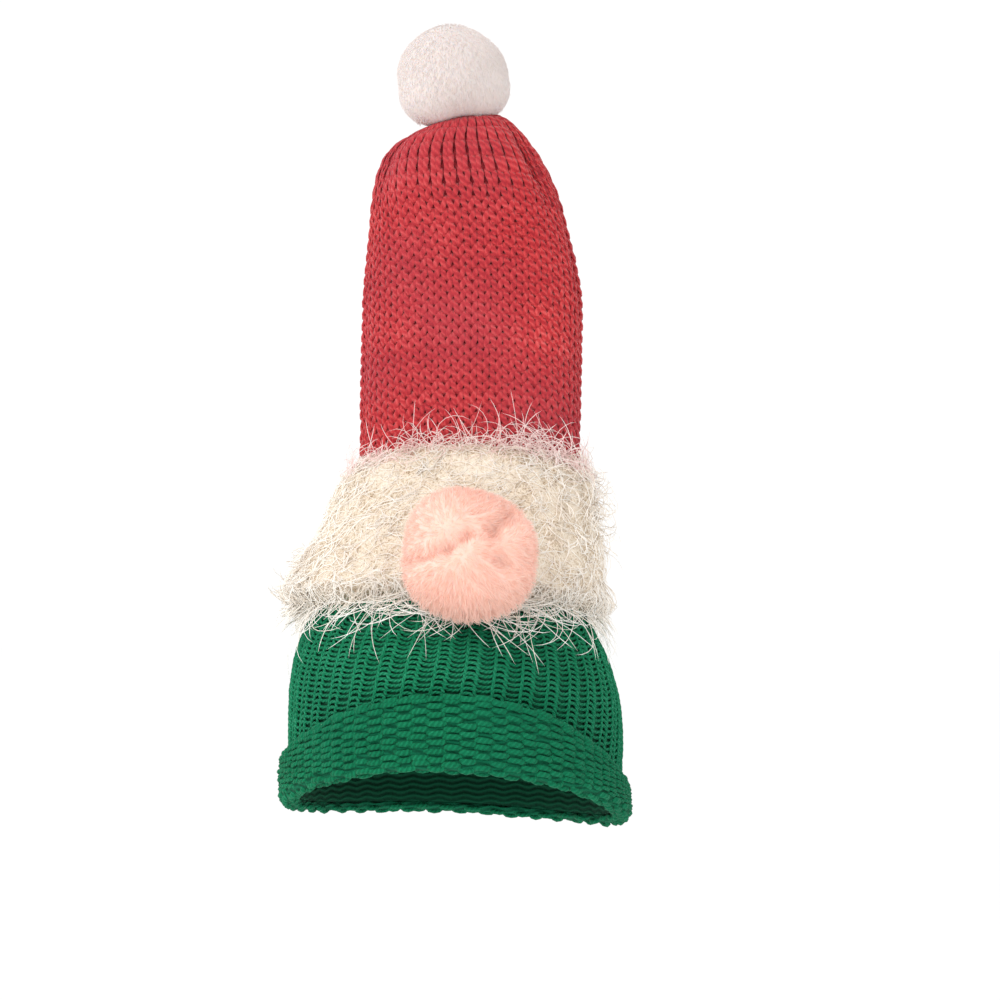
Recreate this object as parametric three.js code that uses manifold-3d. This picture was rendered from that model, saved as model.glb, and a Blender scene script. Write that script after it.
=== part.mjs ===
// A knitted gnome hat, in millimetres, +Z up, with its front towards -Y.
// The origin is the middle of the head opening, in the plane of the rim.
import * as THREE from "three";
import { mergeVertices } from "three/addons/utils/BufferGeometryUtils.js";
import Module from "manifold-3d";

const wasm = await Module();
wasm.setup();

// The head opening, inside the knit, and the green body that is stretched over it
const HEAD_WIDTH = 172;
const HEAD_DEPTH = 196;
const BODY_HEIGHT = 111;
const GREEN_WALL = 4.6;
const RIM_FRONT = 28; // the rim's rise at the front, over its sides
const RIM_BACK = -6; // and at the back
const RIM_ASIDE = -4; // and on the +X side, over its middle

// The rolled edge: how far it stands up at the front, at its two sides and at the back
const ROLL_FRONT = 45;
const ROLL_LEFT = 25; // towards -X
const ROLL_RIGHT = 18; // towards +X
const ROLL_BACK = 33;
const ROLL_BEND = 3.2; // radius of the turn at the rim, at the middle of the knit
const ROLL_BELLY = 0.5; // how far it swells out halfway up
const ROLL_STEPS = 3; // facets in its turn

// The band that carries the beard
const BAND_HEIGHT = 91;
const BAND_WALL = 4;

// The crown, a pouch that hangs flat from its gathered top
const CROWN_WIDTH = 122.6;
const CROWN_DEPTH = 42;
const CROWN_HEIGHT = 180;
const RED_WALL = 4.2;
const COURSE_DROOP = 7.5; // how much lower a row of stitches is at the side folds than at the front
const PLEATS = 16;
const PLEAT_RELIEF = 1.3;
const PLEAT_FACETS = 4;

// Fur
const BEARD_THICKNESS = 9; // the backing, at its fullest
const BEARD_OVERHANG = 3; // below the band, over the green
const BEARD_OVERLAP = 5; // above the band, over the red
const LOCK_LENGTH = 36;
const LOCK_WIDTH = 19;
const LOCK_THICKNESS = 0.6; // as a share of its width
const LOCK_ROOT = 0.45; // how deep a lock starts, as a share of the backing
const TOP_POMPOM_WIDTH = 61;
const TOP_POMPOM_HEIGHT = 60;
const TOP_POMPOM_SEAT = 24.5; // its middle above the gathered top
const NOSE_WIDTH = 72;
const NOSE_DEPTH = 66;
const NOSE_UP = 0.06; // where its tie passes the band, as a share of the band's height
const NOSE_TURN = 5.5; // degrees round from the front
const NOSE_STAND = 25; // its middle, out from the beard's backing

const CORE_SHARE = 0.88; // a pompom's core, as a share of its size
const TUFT_ROOT = 0.5; // where its tufts start, as a share of the way out
const TUFT_TIP = 1.01; // where they end, on the same scale
const TUFT_WIDTH = 0.84; // as a share of its half width
const TUFT_UNEVEN = 0.03;
const SEAT_ANGLE = 52; // degrees round the seat that have no tufts
const NOSE_TUFTS = 42;
const NOSE_DROOP = 0.12; // how far its tufts hang, as a share of their length
const TOP_TUFTS = 32;
const TOP_DROOP = 0.04;
const HAIR_SIDES = 4; // of a lock or tuft
const HAIR_STEPS = 2;

// Ties and clearances
const TIE_RADIUS = 1.5;
const KNOT_RADIUS = 4.4;
const TIE_SOCKET = 6; // how far a tie runs into its pompom
const SEAM_GAP = 0.3; // between two pieces that are knitted or sewn together
const FUR_CLEAR = 0.5; // between the beard's backing and the knit under it
const TIE_CLEAR = 0.4;
const TIE_SIDES = 10;

// Facets round the crown, and round everything below it
const CROWN_COLUMNS = PLEATS * PLEAT_FACETS;
const BODY_COLUMNS = 48;
const FUR_COLUMNS = 24;

const DEGREE = Math.PI / 180;

function table(columns, rows) {
  const names = columns.split(" ");
  return rows.map((row) =>
    Object.fromEntries(names.map((name, i) => [name, row[i]])),
  );
}

// Sections of the green body: height as a share of BODY_HEIGHT, half sizes as shares of the head's, the
// middle's shift as a share of HEAD_WIDTH, the outline's power, and how much of the rim's rise and of the
// droop of its rows shows.
const BODY_FORM = table("up wide deep aside square rise droop", [
  [0.0, 0.985, 0.985, 0.0, 2.1, 1.0, 0.0],
  [0.3, 1.01, 1.01, 0.0, 2.1, 0.85, 0.0],
  [0.45, 1.01, 1.01, 0.0, 2.1, 0.75, 0.0],
  [0.6, 0.997, 0.985, -0.004, 2.1, 0.62, 0.1],
  [0.775, 0.95, 0.9, -0.012, 2.1, 0.42, 0.2],
  [0.885, 0.9, 0.82, -0.016, 2.1, 0.3, 0.3],
  [1.0, 0.845, 0.72, -0.014, 2.1, 0.2, 0.4],
]);

// Sections of the band: height as a share of BAND_HEIGHT, and how far it has gone from the body's top to
// the crown's foot.
const BAND_FORM = table("up blend", [
  [0.32, 0.36],
  [0.65, 0.71],
]);

// Sections of the crown: height as a share of CROWN_HEIGHT, half sizes as shares of the crown's, the
// middle's shift as a share of CROWN_WIDTH, the outline's power, the rise of the +X side as a share of
// CROWN_WIDTH, and how much of the droop of its rows shows.
const CROWN_FORM = table("up wide deep aside square lean droop", [
  [0.0, 1.0, 1.3, 0.06, 2.3, 0.0, 1.0],
  [0.2, 1.0, 1.12, 0.065, 2.5, 0.0, 1.0],
  [0.42, 1.0, 1.0, 0.073, 2.6, 0.0, 1.0],
  [0.51, 0.992, 1.0, 0.074, 2.6, 0.0, 0.95],
  [0.6, 0.955, 1.0, 0.068, 2.6, 0.0, 0.9],
  [0.69, 0.91, 0.98, 0.058, 2.5, 0.0, 0.8],
  [0.78, 0.86, 0.95, 0.044, 2.4, 0.003, 0.6],
  [0.87, 0.76, 0.9, 0.026, 2.3, 0.006, 0.35],
  [0.93, 0.635, 0.82, 0.02, 2.2, 0.012, 0.2],
  [0.975, 0.46, 0.68, 0.034, 2.1, 0.02, 0.1],
  [1.0, 0.28, 0.48, 0.04, 2.0, 0.024, 0.0],
  [0.99, 0.135, 0.3, 0.012, 2.0, 0.012, 0.0],
  [0.965, 0.072, 0.21, -0.012, 2.0, 0.003, 0.0],
]);

// Folds pressed into the crown: place in degrees round from the front and as a share of CROWN_HEIGHT, half
// size in degrees and as a share, and depth as a share of CROWN_DEPTH.
const CROWN_FOLDS = table("turn up wide tall deep", [
  [56, 0.86, 9, 0.1, 0.14],
  [80, 0.6, 8, 0.22, 0.05],
  [-62, 0.88, 10, 0.08, 0.07],
  [-76, 0.3, 9, 0.2, 0.04],
  [200, 0.55, 16, 0.25, 0.09],
]);

// Where the gathers rise and fade, and where the folds fade, as shares of the way up the crown's knit.
const PLEAT_RISE = { start: 0.62, full: 0.86, end: 0.99 };
const FOLD_FADE = { start: 0.86, end: 0.95 };
const GATHER_ROWS = 6; // sections, from the top, that a pompom can rest on

// The beard's backing: height as a share of BAND_HEIGHT between its ends, and thickness as a share of
// BEARD_THICKNESS.
const BACKING_FORM = table("up thick", [
  [0.0, 1.0],
  [0.32, 0.9],
  [0.65, 0.72],
  [1.0, 0.5],
]);
const BACKING_EDGE = 0.3; // thickness left at its two ends
const BEARD_FLARE = 0.7; // extra thickness at the foot of the -X side
const LOCK_FLARE = 0.3; // how much further the locks there lean out

// Rows of locks: height as a share of BAND_HEIGHT, number round, length and width as shares of
// LOCK_LENGTH and LOCK_WIDTH, how far each leaves the surface, how far it runs down and how far it curls.
const BEARD_LOCKS = table("up count long wide out down curl", [
  [0.95, 13, 0.42, 0.65, 0.35, -0.8, 0.0],
  [0.7, 12, 0.75, 1.0, 0.5, 0.7, 0.2],
  [0.42, 14, 0.85, 1.1, 0.5, 0.8, 0.15],
  [0.14, 16, 0.9, 1.15, 0.42, 0.9, 0.1],
]);

// How much the locks differ in place round, in length and in lean.
const LOCK_UNEVEN = { place: 0.25, length: 0.22, lean: 0.3 };
const LOCK_CHECKS = [0.3, 0.65, 1]; // places along a lock that stay clear of the nose
const NOSE_ROOM = 0.62; // as a share of LOCK_WIDTH

// The knit tube as one run of sections, from the rim to the gathered hole.
const bodyRows = BODY_FORM.map((row) => ({
  z: BODY_HEIGHT * row.up,
  halfWidth: (row.wide * (HEAD_WIDTH + GREEN_WALL)) / 2,
  halfDepth: (row.deep * (HEAD_DEPTH + GREEN_WALL)) / 2,
  x: row.aside * HEAD_WIDTH,
  square: row.square,
  rise: row.rise,
  lean: row.rise * RIM_ASIDE,
  droop: row.droop * COURSE_DROOP,
}));

const crownRows = CROWN_FORM.map((row) => ({
  z: BODY_HEIGHT + BAND_HEIGHT + CROWN_HEIGHT * row.up,
  halfWidth: (row.wide * (CROWN_WIDTH - RED_WALL)) / 2,
  halfDepth: (row.deep * (CROWN_DEPTH - RED_WALL)) / 2,
  x: row.aside * CROWN_WIDTH,
  square: row.square,
  rise: 0,
  lean: row.lean * CROWN_WIDTH,
  droop: row.droop * COURSE_DROOP,
}));

function blendRows(a, b, share) {
  const mixed = {};
  for (const key of Object.keys(a)) {
    mixed[key] = THREE.MathUtils.lerp(a[key], b[key], share);
  }
  return mixed;
}

const bandRows = BAND_FORM.map((row) => ({
  ...blendRows(bodyRows.at(-1), crownRows[0], row.blend),
  z: BODY_HEIGHT + BAND_HEIGHT * row.up,
}));

const knitRows = [...bodyRows, ...bandRows, ...crownRows];
knitRows[0].station = 0;
for (let i = 1; i < knitRows.length; i++) {
  const [below, row] = [knitRows[i - 1], knitRows[i]];
  const inward = (row.halfWidth - below.halfWidth + row.halfDepth - below.halfDepth) / 2;
  row.station = below.station + Math.hypot(row.z - below.z, inward);
}
const BODY_TOP = bodyRows.at(-1).station;
const CROWN_FOOT = crownRows[0].station;
const CROWN_END = crownRows.at(-1).station;

// The section at a station along the knit, on a smooth curve through the rows.
function sectionAt(station) {
  const last = knitRows.length - 2;
  let i = knitRows.findIndex((row) => row.station > station) - 1;
  i = i < 0 ? (station < knitRows[0].station ? 0 : last) : i;
  const [a, b] = [knitRows[i], knitRows[i + 1]];
  const [before, after] = [knitRows[Math.max(i - 1, 0)], knitRows[Math.min(i + 2, last + 1)]];
  const span = b.station - a.station;
  const t = (station - a.station) / span;
  const section = {};
  for (const key of Object.keys(a)) {
    const slopeA = (b[key] - before[key]) / (b.station - before.station);
    const slopeB = (after[key] - a[key]) / (after.station - a.station);
    section[key] =
      a[key] * (2 * t ** 3 - 3 * t ** 2 + 1) +
      slopeA * span * (t ** 3 - 2 * t ** 2 + t) +
      b[key] * (3 * t ** 2 - 2 * t ** 3) +
      slopeB * span * (t ** 3 - t ** 2);
  }
  return section;
}

// A point on the middle of the knit. The turn is in radians from the front, towards +X.
function middlePoint(station, turn) {
  const section = sectionAt(station);
  const power = 2 / section.square;
  const side = Math.sin(turn);
  const front = Math.cos(turn);
  const x = section.halfWidth * Math.sign(side) * Math.abs(side) ** power;
  const y = -section.halfDepth * Math.sign(front) * Math.abs(front) ** power;
  const ahead = -y / section.halfDepth;
  const rise = ((RIM_FRONT - RIM_BACK) / 2) * ahead + ((RIM_FRONT + RIM_BACK) / 2) * ahead ** 2;
  const lean = (section.lean * x) / section.halfWidth;
  const z = section.z + section.rise * rise + lean - section.droop * side ** 2;
  return new THREE.Vector3(section.x + x, y, z);
}

// Directions at a point of the knit, along it, round it and out of it, from points a small step away.
const STEP = 0.5;
const SWING = 1.5 * DEGREE;

function directionsAt(station, turn) {
  const along = middlePoint(station + STEP, turn).sub(middlePoint(station - STEP, turn)).normalize();
  const round = middlePoint(station, turn + SWING).sub(middlePoint(station, turn - SWING)).normalize();
  const out = round.clone().cross(along).normalize();
  return { along, round, out };
}

function bump(distance) {
  return Math.exp(-(distance ** 2));
}

// How far the crown's gathers and folds lift the knit off its plain form.
function relief(station, turn) {
  const up = (station - CROWN_FOOT) / (CROWN_END - CROWN_FOOT);
  const height = (sectionAt(station).z - BODY_HEIGHT - BAND_HEIGHT) / CROWN_HEIGHT;
  const rising = THREE.MathUtils.smoothstep(up, PLEAT_RISE.start, PLEAT_RISE.full);
  const fading = 1 - THREE.MathUtils.smoothstep(up, PLEAT_RISE.full, PLEAT_RISE.end);
  let lift = PLEAT_RELIEF * rising * fading * Math.cos(PLEATS * turn);
  const folded = 1 - THREE.MathUtils.smoothstep(up, FOLD_FADE.start, FOLD_FADE.end);
  for (const fold of CROWN_FOLDS) {
    const away = turn - fold.turn * DEGREE;
    const round = Math.atan2(Math.sin(away), Math.cos(away));
    const press = bump(round / (fold.wide * DEGREE)) * bump((height - fold.up) / fold.tall);
    lift -= CROWN_DEPTH * fold.deep * press * folded;
  }
  return lift;
}

// A point a given way out from the middle of the knit.
function knitPoint(out, station, turn) {
  const lifted = station > CROWN_FOOT ? relief(station, turn) : 0;
  return middlePoint(station, turn).addScaledVector(directionsAt(station, turn).out, out + lifted);
}

function solidOf(geometry) {
  geometry.deleteAttribute("normal");
  geometry.deleteAttribute("uv");
  const merged = mergeVertices(geometry, 1e-4);
  return new wasm.Manifold(
    new wasm.Mesh({
      numProp: 3,
      vertProperties: merged.getAttribute("position").array,
      triVerts: new Uint32Array(merged.index.array),
    }),
  );
}

// A closed profile turned round the hat. Each of its points is a way out and a station, and place() puts
// it in space.
function turnedWall(profile, columns, place) {
  const lathe = new THREE.LatheGeometry(profile, columns);
  const position = lathe.getAttribute("position");
  for (let i = 0; i < position.count; i++) {
    const spot = profile[i % profile.length];
    const column = Math.floor(i / profile.length) % columns;
    const point = place(spot.x, spot.y, (column / columns) * 2 * Math.PI);
    position.setXYZ(i, point.x, point.y, point.z);
  }
  return solidOf(lathe);
}

// The closed profile between an outer and an inner line of points, both listed upwards.
function closedProfile(outer, inner) {
  const loop = [...outer, ...inner.toReversed()];
  return [...loop, loop[0]].map(([out, station]) => new THREE.Vector2(out, station));
}

// A plain knit wall through the given stations. Its inner face leaves out the rows where it is straight.
function knitWall(stations, wall, columns, straight = []) {
  const outer = stations.map((station) => [wall / 2, station]);
  const inner = stations.filter((_, i) => !straight.includes(i)).map((station) => [-wall / 2, station]);
  return turnedWall(closedProfile(outer, inner), columns, knitPoint);
}

function meshOf(name, solid, material) {
  const { vertProperties, triVerts } = solid.getMesh();
  const geometry = new THREE.BufferGeometry();
  geometry.setAttribute("position", new THREE.BufferAttribute(vertProperties, 3));
  geometry.setIndex(new THREE.BufferAttribute(triVerts, 1));
  geometry.computeVertexNormals();
  const mesh = new THREE.Mesh(geometry, material);
  mesh.name = name;
  return mesh;
}

// A tapered lock of fur: a bent cone from root towards tip.
function lock({ root, heading, bend, across, length, width, thick }) {
  const cone = new THREE.ConeGeometry(1, 1, HAIR_SIDES, HAIR_STEPS);
  const position = cone.getAttribute("position");
  const depth = heading.clone().cross(across).normalize();
  for (let i = 0; i < position.count; i++) {
    const t = position.getY(i) + 0.5;
    const full = 1 + t;
    const point = root
      .clone()
      .addScaledVector(heading, length * t)
      .addScaledVector(bend, length * t ** 2)
      .addScaledVector(across, (-position.getX(i) * full * width) / 2)
      .addScaledVector(depth, (position.getZ(i) * full * thick) / 2);
    position.setXYZ(i, point.x, point.y, point.z);
  }
  return solidOf(cone);
}

// A repeatable uneven number between -1 and 1 for each key.
function uneven(key) {
  const wave = Math.sin(key * 12.9898 + 4.1) * 43758.5453;
  return 2 * (wave - Math.floor(wave)) - 1;
}

// Shaft and knot of a tie, from inside the knit at its knot to its end in a pompom.
function tieSolid(knotTop, way, length, extra) {
  const knot = KNOT_RADIUS + extra;
  const profile = [
    [0, -KNOT_RADIUS],
    [knot, (-3 * KNOT_RADIUS) / 4],
    [knot, -KNOT_RADIUS / 5],
    [TIE_RADIUS + extra, 0],
    [TIE_RADIUS + extra, length + extra],
    [0, length + extra],
  ].map(([x, y]) => new THREE.Vector2(x, y));
  const lathe = new THREE.LatheGeometry(profile, TIE_SIDES);
  const turn = new THREE.Quaternion().setFromUnitVectors(new THREE.Vector3(0, 1, 0), way);
  lathe.applyQuaternion(turn).translate(knotTop.x, knotTop.y, knotTop.z);
  return solidOf(lathe);
}

// A fur pompom: a round core with short locks all over it, apart from the side that it sits on.
function pompomSolid({ middle, half, seat, locks, key, droop }) {
  const core = new THREE.IcosahedronGeometry(CORE_SHARE, 1);
  core.scale(half.x, half.y, half.z).translate(middle.x, middle.y, middle.z);
  let solid = solidOf(core);
  const golden = Math.PI * (3 - Math.sqrt(5));
  for (let i = 0; i < locks; i++) {
    const height = 1 - (2 * (i + 0.5)) / locks;
    const ring = Math.sqrt(1 - height ** 2);
    const way = new THREE.Vector3(ring * Math.cos(golden * i), ring * Math.sin(golden * i), height);
    if (way.angleTo(seat) < SEAT_ANGLE * DEGREE) continue;
    const reach = way.clone().multiply(half);
    const across = new THREE.Vector3(0, 0, 1).cross(way).normalize();
    const length = reach.length() * (TUFT_TIP - TUFT_ROOT + TUFT_UNEVEN * uneven(key + i));
    solid = solid.add(
      lock({
        root: middle.clone().addScaledVector(reach, TUFT_ROOT),
        heading: way,
        bend: new THREE.Vector3(0, 0, -droop),
        across,
        length,
        width: half.x * TUFT_WIDTH,
        thick: half.x * TUFT_WIDTH,
      }),
    );
  }
  return solid;
}

const red = new THREE.MeshStandardMaterial({ color: 0xb5383c, roughness: 0.9, metalness: 0 });
const green = new THREE.MeshStandardMaterial({ color: 0x1d6b4a, roughness: 0.9, metalness: 0 });
const cream = new THREE.MeshStandardMaterial({ color: 0xf0e4d7, roughness: 0.85, metalness: 0 });
const white = new THREE.MeshStandardMaterial({ color: 0xe8dfdb, roughness: 0.95, metalness: 0 });
const pink = new THREE.MeshStandardMaterial({ color: 0xfaccba, roughness: 0.95, metalness: 0 });

// Green body and rolled edge. The knit turns out at the rim, and the body starts where that turn ends.
const ROLL_FOOT = ROLL_BEND + GREEN_WALL / 2;
const BODY_STRAIGHT = [1, 2];
const CROWN_STRAIGHT = [1, 3];

function bodySolid() {
  const between = bodyRows.slice(1, -1).map((row) => row.station);
  const stations = [ROLL_FOOT + SEAM_GAP, ...between, BODY_TOP - SEAM_GAP / 2];
  return knitWall(stations, GREEN_WALL, BODY_COLUMNS, BODY_STRAIGHT);
}

function rollHeight(turn) {
  const side = THREE.MathUtils.lerp(ROLL_LEFT, ROLL_RIGHT, (1 + Math.sin(turn)) / 2);
  const end = Math.cos(turn) > 0 ? ROLL_FRONT : ROLL_BACK;
  return THREE.MathUtils.lerp(side, end, Math.cos(turn) ** 2);
}

// The roll's section, out from the lining and up from the rim: a turn at the rim and a limb that leans
// back to the body.
function rollSolid() {
  const start = GREEN_WALL / 2;
  const top = new THREE.Vector2(GREEN_WALL * 1.5 + SEAM_GAP, ROLL_FRONT - GREEN_WALL / 2);
  const line = new THREE.Path();
  line.absarc(start + ROLL_BEND, ROLL_FOOT, ROLL_BEND, Math.PI, 2 * Math.PI, false);
  const turnPoints = line.getSpacedPoints(ROLL_STEPS);
  const foot = turnPoints.at(-1);
  const belly = new THREE.Vector2(foot.x + ROLL_BELLY, (foot.y + top.y) / 2);
  const middle = [...turnPoints, belly, top];
  const outer = [];
  const inner = [];
  middle.forEach((point, i) => {
    const before = middle[Math.max(i - 1, 0)];
    const after = middle[Math.min(i + 1, middle.length - 1)];
    const along = i === 0 ? new THREE.Vector2(0, -1) : after.clone().sub(before).normalize();
    const half = GREEN_WALL / 2;
    outer.push([point.x + along.y * half, point.y - along.x * half]);
    inner.push([point.x - along.y * half, point.y + along.x * half]);
  });
  const cap = [top.x, ROLL_FRONT];
  const place = (out, up, turn) => {
    const stretch = (rollHeight(turn) - ROLL_FOOT) / (ROLL_FRONT - ROLL_FOOT);
    const station = up > ROLL_FOOT ? ROLL_FOOT + (up - ROLL_FOOT) * stretch : up;
    return knitPoint(out - GREEN_WALL / 2, station, turn);
  };
  return turnedWall(closedProfile([...outer, cap], inner), BODY_COLUMNS, place);
}

// The beard's backing reaches a little past both ends of its band.
function backingThickness(station, turn) {
  const share = (station - BODY_TOP) / (CROWN_FOOT - BODY_TOP);
  const rows = BACKING_FORM;
  const i = THREE.MathUtils.clamp(rows.findIndex((row) => row.up >= share) - 1, 0, rows.length - 2);
  const t = THREE.MathUtils.clamp((share - rows[i].up) / (rows[i + 1].up - rows[i].up), 0, 1);
  const thick = THREE.MathUtils.lerp(rows[i].thick, rows[i + 1].thick, t);
  const flare = BEARD_FLARE * Math.max(0, -Math.sin(turn)) * (1 - THREE.MathUtils.clamp(share, 0, 1));
  return BEARD_THICKNESS * (thick + flare);
}

const BACKING_FACE = Math.max(GREEN_WALL, BAND_WALL, RED_WALL) / 2 + FUR_CLEAR;

const BACKING_LOW = BODY_TOP - BEARD_OVERHANG;
const BACKING_HIGH = CROWN_FOOT + BEARD_OVERLAP;
const BACKING_SUNK = BAND_WALL / 2; // cut away again along the face of the knit
const BACKING_ROWS = [BODY_TOP, ...bandRows.map((row) => row.station), CROWN_FOOT];

function backingSolid(clearance) {
  const outer = [
    [BACKING_EDGE, BACKING_LOW - clearance],
    ...BACKING_ROWS.map((station) => [1, station]),
    [BACKING_EDGE, BACKING_HIGH + clearance],
  ];
  const inner = outer.map(([, station]) => [-1, station]);
  const place = (share, station, turn) => {
    const out = share > 0 ? share * backingThickness(station, turn) + clearance : -BACKING_SUNK;
    return knitPoint(BACKING_FACE + out, station, turn);
  };
  return turnedWall(closedProfile(outer, inner), FUR_COLUMNS, place);
}

// The room that the knit takes under the beard, with the clearance between them, down past the locks' tips.
function knitRoom() {
  const below = bodyRows.slice(-3, -1).map((row) => row.station);
  const rows = [...below, ...BACKING_ROWS, crownRows[1].station];
  const outer = rows.map((station) => [BACKING_FACE, station]);
  const inner = rows.map((station) => [-CROWN_DEPTH / 4, station]);
  return turnedWall(closedProfile(outer, inner), BODY_COLUMNS, knitPoint);
}

// The nose sits on the backing, square to the knit there.
const noseTurn = NOSE_TURN * DEGREE;
const noseStation = THREE.MathUtils.lerp(BODY_TOP, CROWN_FOOT, NOSE_UP);
const noseWay = directionsAt(noseStation, noseTurn).out;
const noseSeat = knitPoint(BACKING_FACE + backingThickness(noseStation, noseTurn), noseStation, noseTurn);
const noseMiddle = noseSeat.clone().addScaledVector(noseWay, NOSE_STAND);
const noseHalf = new THREE.Vector3(NOSE_WIDTH, NOSE_DEPTH, NOSE_WIDTH).divideScalar(2);
const noseKnot = knitPoint(-BAND_WALL / 2 - SEAM_GAP, noseStation, noseTurn);
const noseTieLength = noseMiddle.distanceTo(noseKnot) - noseHalf.y + TIE_SOCKET * 2;

function nearNose(point) {
  const reach = noseHalf.clone().addScalar(LOCK_WIDTH * NOSE_ROOM);
  return point.clone().sub(noseMiddle).divide(reach).length() < 1;
}

function beardSolid() {
  let solid = backingSolid(0);
  BEARD_LOCKS.forEach((row, rank) => {
    const station = THREE.MathUtils.lerp(BODY_TOP, CROWN_FOOT, row.up);
    for (let i = 0; i < row.count; i++) {
      const key = rank * 40 + i; // no two locks share one
      const place = i + 0.5 * (rank % 2) + LOCK_UNEVEN.place * uneven(key);
      const turn = (place / row.count) * 2 * Math.PI;
      const { along, round, out } = directionsAt(station, turn);
      const length = LOCK_LENGTH * row.long * (1 + LOCK_UNEVEN.length * uneven(key + 7));
      const sunk = backingThickness(station, turn) * LOCK_ROOT;
      const root = knitPoint(BACKING_FACE + sunk, station, turn);
      const heading = out
        .clone()
        .multiplyScalar(row.out + LOCK_FLARE * Math.max(0, -Math.sin(turn)) * row.down)
        .addScaledVector(along, -row.down)
        .addScaledVector(round, LOCK_UNEVEN.lean * uneven(key + 13))
        .normalize();
      const bend = new THREE.Vector3(0, 0, -row.curl);
      const reach = LOCK_CHECKS.map((t) =>
        root.clone().addScaledVector(heading, length * t).addScaledVector(bend, length * t ** 2),
      );
      if (reach.some(nearNose)) continue;
      const width = LOCK_WIDTH * row.wide;
      const thick = width * LOCK_THICKNESS;
      solid = solid.add(lock({ root, heading, bend, across: round, length, width, thick }));
    }
  });
  return solid.subtract(knitRoom()).subtract(tieSolid(noseKnot, noseWay, noseTieLength, TIE_CLEAR));
}

function noseSolid() {
  return pompomSolid({
    middle: noseMiddle,
    half: noseHalf,
    seat: noseWay.clone().negate(),
    locks: NOSE_TUFTS,
    key: 300,
    droop: NOSE_DROOP,
  })
    .subtract(backingSolid(SEAM_GAP))
    .subtract(tieSolid(noseKnot, noseWay, noseTieLength, TIE_CLEAR));
}

// The top pompom sits on the gathers, and its tie passes through the hole that they leave.
const topRow = crownRows.reduce((a, b) => (b.z > a.z ? b : a));
const holeRow = crownRows.at(-1);
const topHalf = new THREE.Vector3(TOP_POMPOM_WIDTH, TOP_POMPOM_WIDTH, TOP_POMPOM_HEIGHT).divideScalar(2);
const topMiddle = new THREE.Vector3(holeRow.x, 0, topRow.z + TOP_POMPOM_SEAT);
const topKnot = new THREE.Vector3(holeRow.x, 0, holeRow.z - RED_WALL / 2);
const topTieLength = topMiddle.z - topHalf.z * CORE_SHARE + TIE_SOCKET - topKnot.z;
const UP = new THREE.Vector3(0, 0, 1);

// The room that the gathered top takes under its pompom.
function gatherRoom() {
  const stations = crownRows.slice(-GATHER_ROWS).map((row) => row.station);
  const face = (out) => stations.map((station) => [out, station]);
  const outside = (RED_WALL + PLEAT_RELIEF) / 2 + SEAM_GAP;
  const profile = closedProfile(face(outside), face(-RED_WALL / 2));
  return turnedWall(profile, FUR_COLUMNS, (out, station, turn) =>
    middlePoint(station, turn).addScaledVector(directionsAt(station, turn).out, out),
  );
}

function topPompomSolid() {
  return pompomSolid({
    middle: topMiddle,
    half: topHalf,
    seat: UP.clone().negate(),
    locks: TOP_TUFTS,
    key: 500,
    droop: TOP_DROOP,
  })
    .subtract(gatherRoom())
    .subtract(tieSolid(topKnot, UP, topTieLength, TIE_CLEAR));
}

function crownSolid() {
  const above = crownRows.slice(1).map((row) => row.station);
  return knitWall([CROWN_FOOT + SEAM_GAP / 2, ...above], RED_WALL, CROWN_COLUMNS, CROWN_STRAIGHT);
}

function bandSolid() {
  const rows = bandRows.map((row) => row.station);
  const stations = [BODY_TOP + SEAM_GAP / 2, ...rows, CROWN_FOOT - SEAM_GAP / 2];
  return knitWall(stations, BAND_WALL, BODY_COLUMNS).subtract(
    tieSolid(noseKnot, noseWay, noseTieLength, TIE_CLEAR),
  );
}

const hat = new THREE.Group();
hat.add(
  meshOf("red_crown", crownSolid(), red),
  meshOf("beard_band", bandSolid(), cream),
  meshOf("beard_fur", beardSolid(), cream),
  meshOf("green_body", bodySolid(), green),
  meshOf("rolled_brim", rollSolid(), green),
  meshOf("top_pompom", topPompomSolid(), white),
  meshOf("top_pompom_tie", tieSolid(topKnot, UP, topTieLength, 0), white),
  meshOf("nose_pompom", noseSolid(), pink),
  meshOf("nose_pompom_tie", tieSolid(noseKnot, noseWay, noseTieLength, 0), pink),
);

export default hat;
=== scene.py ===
import math

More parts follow.
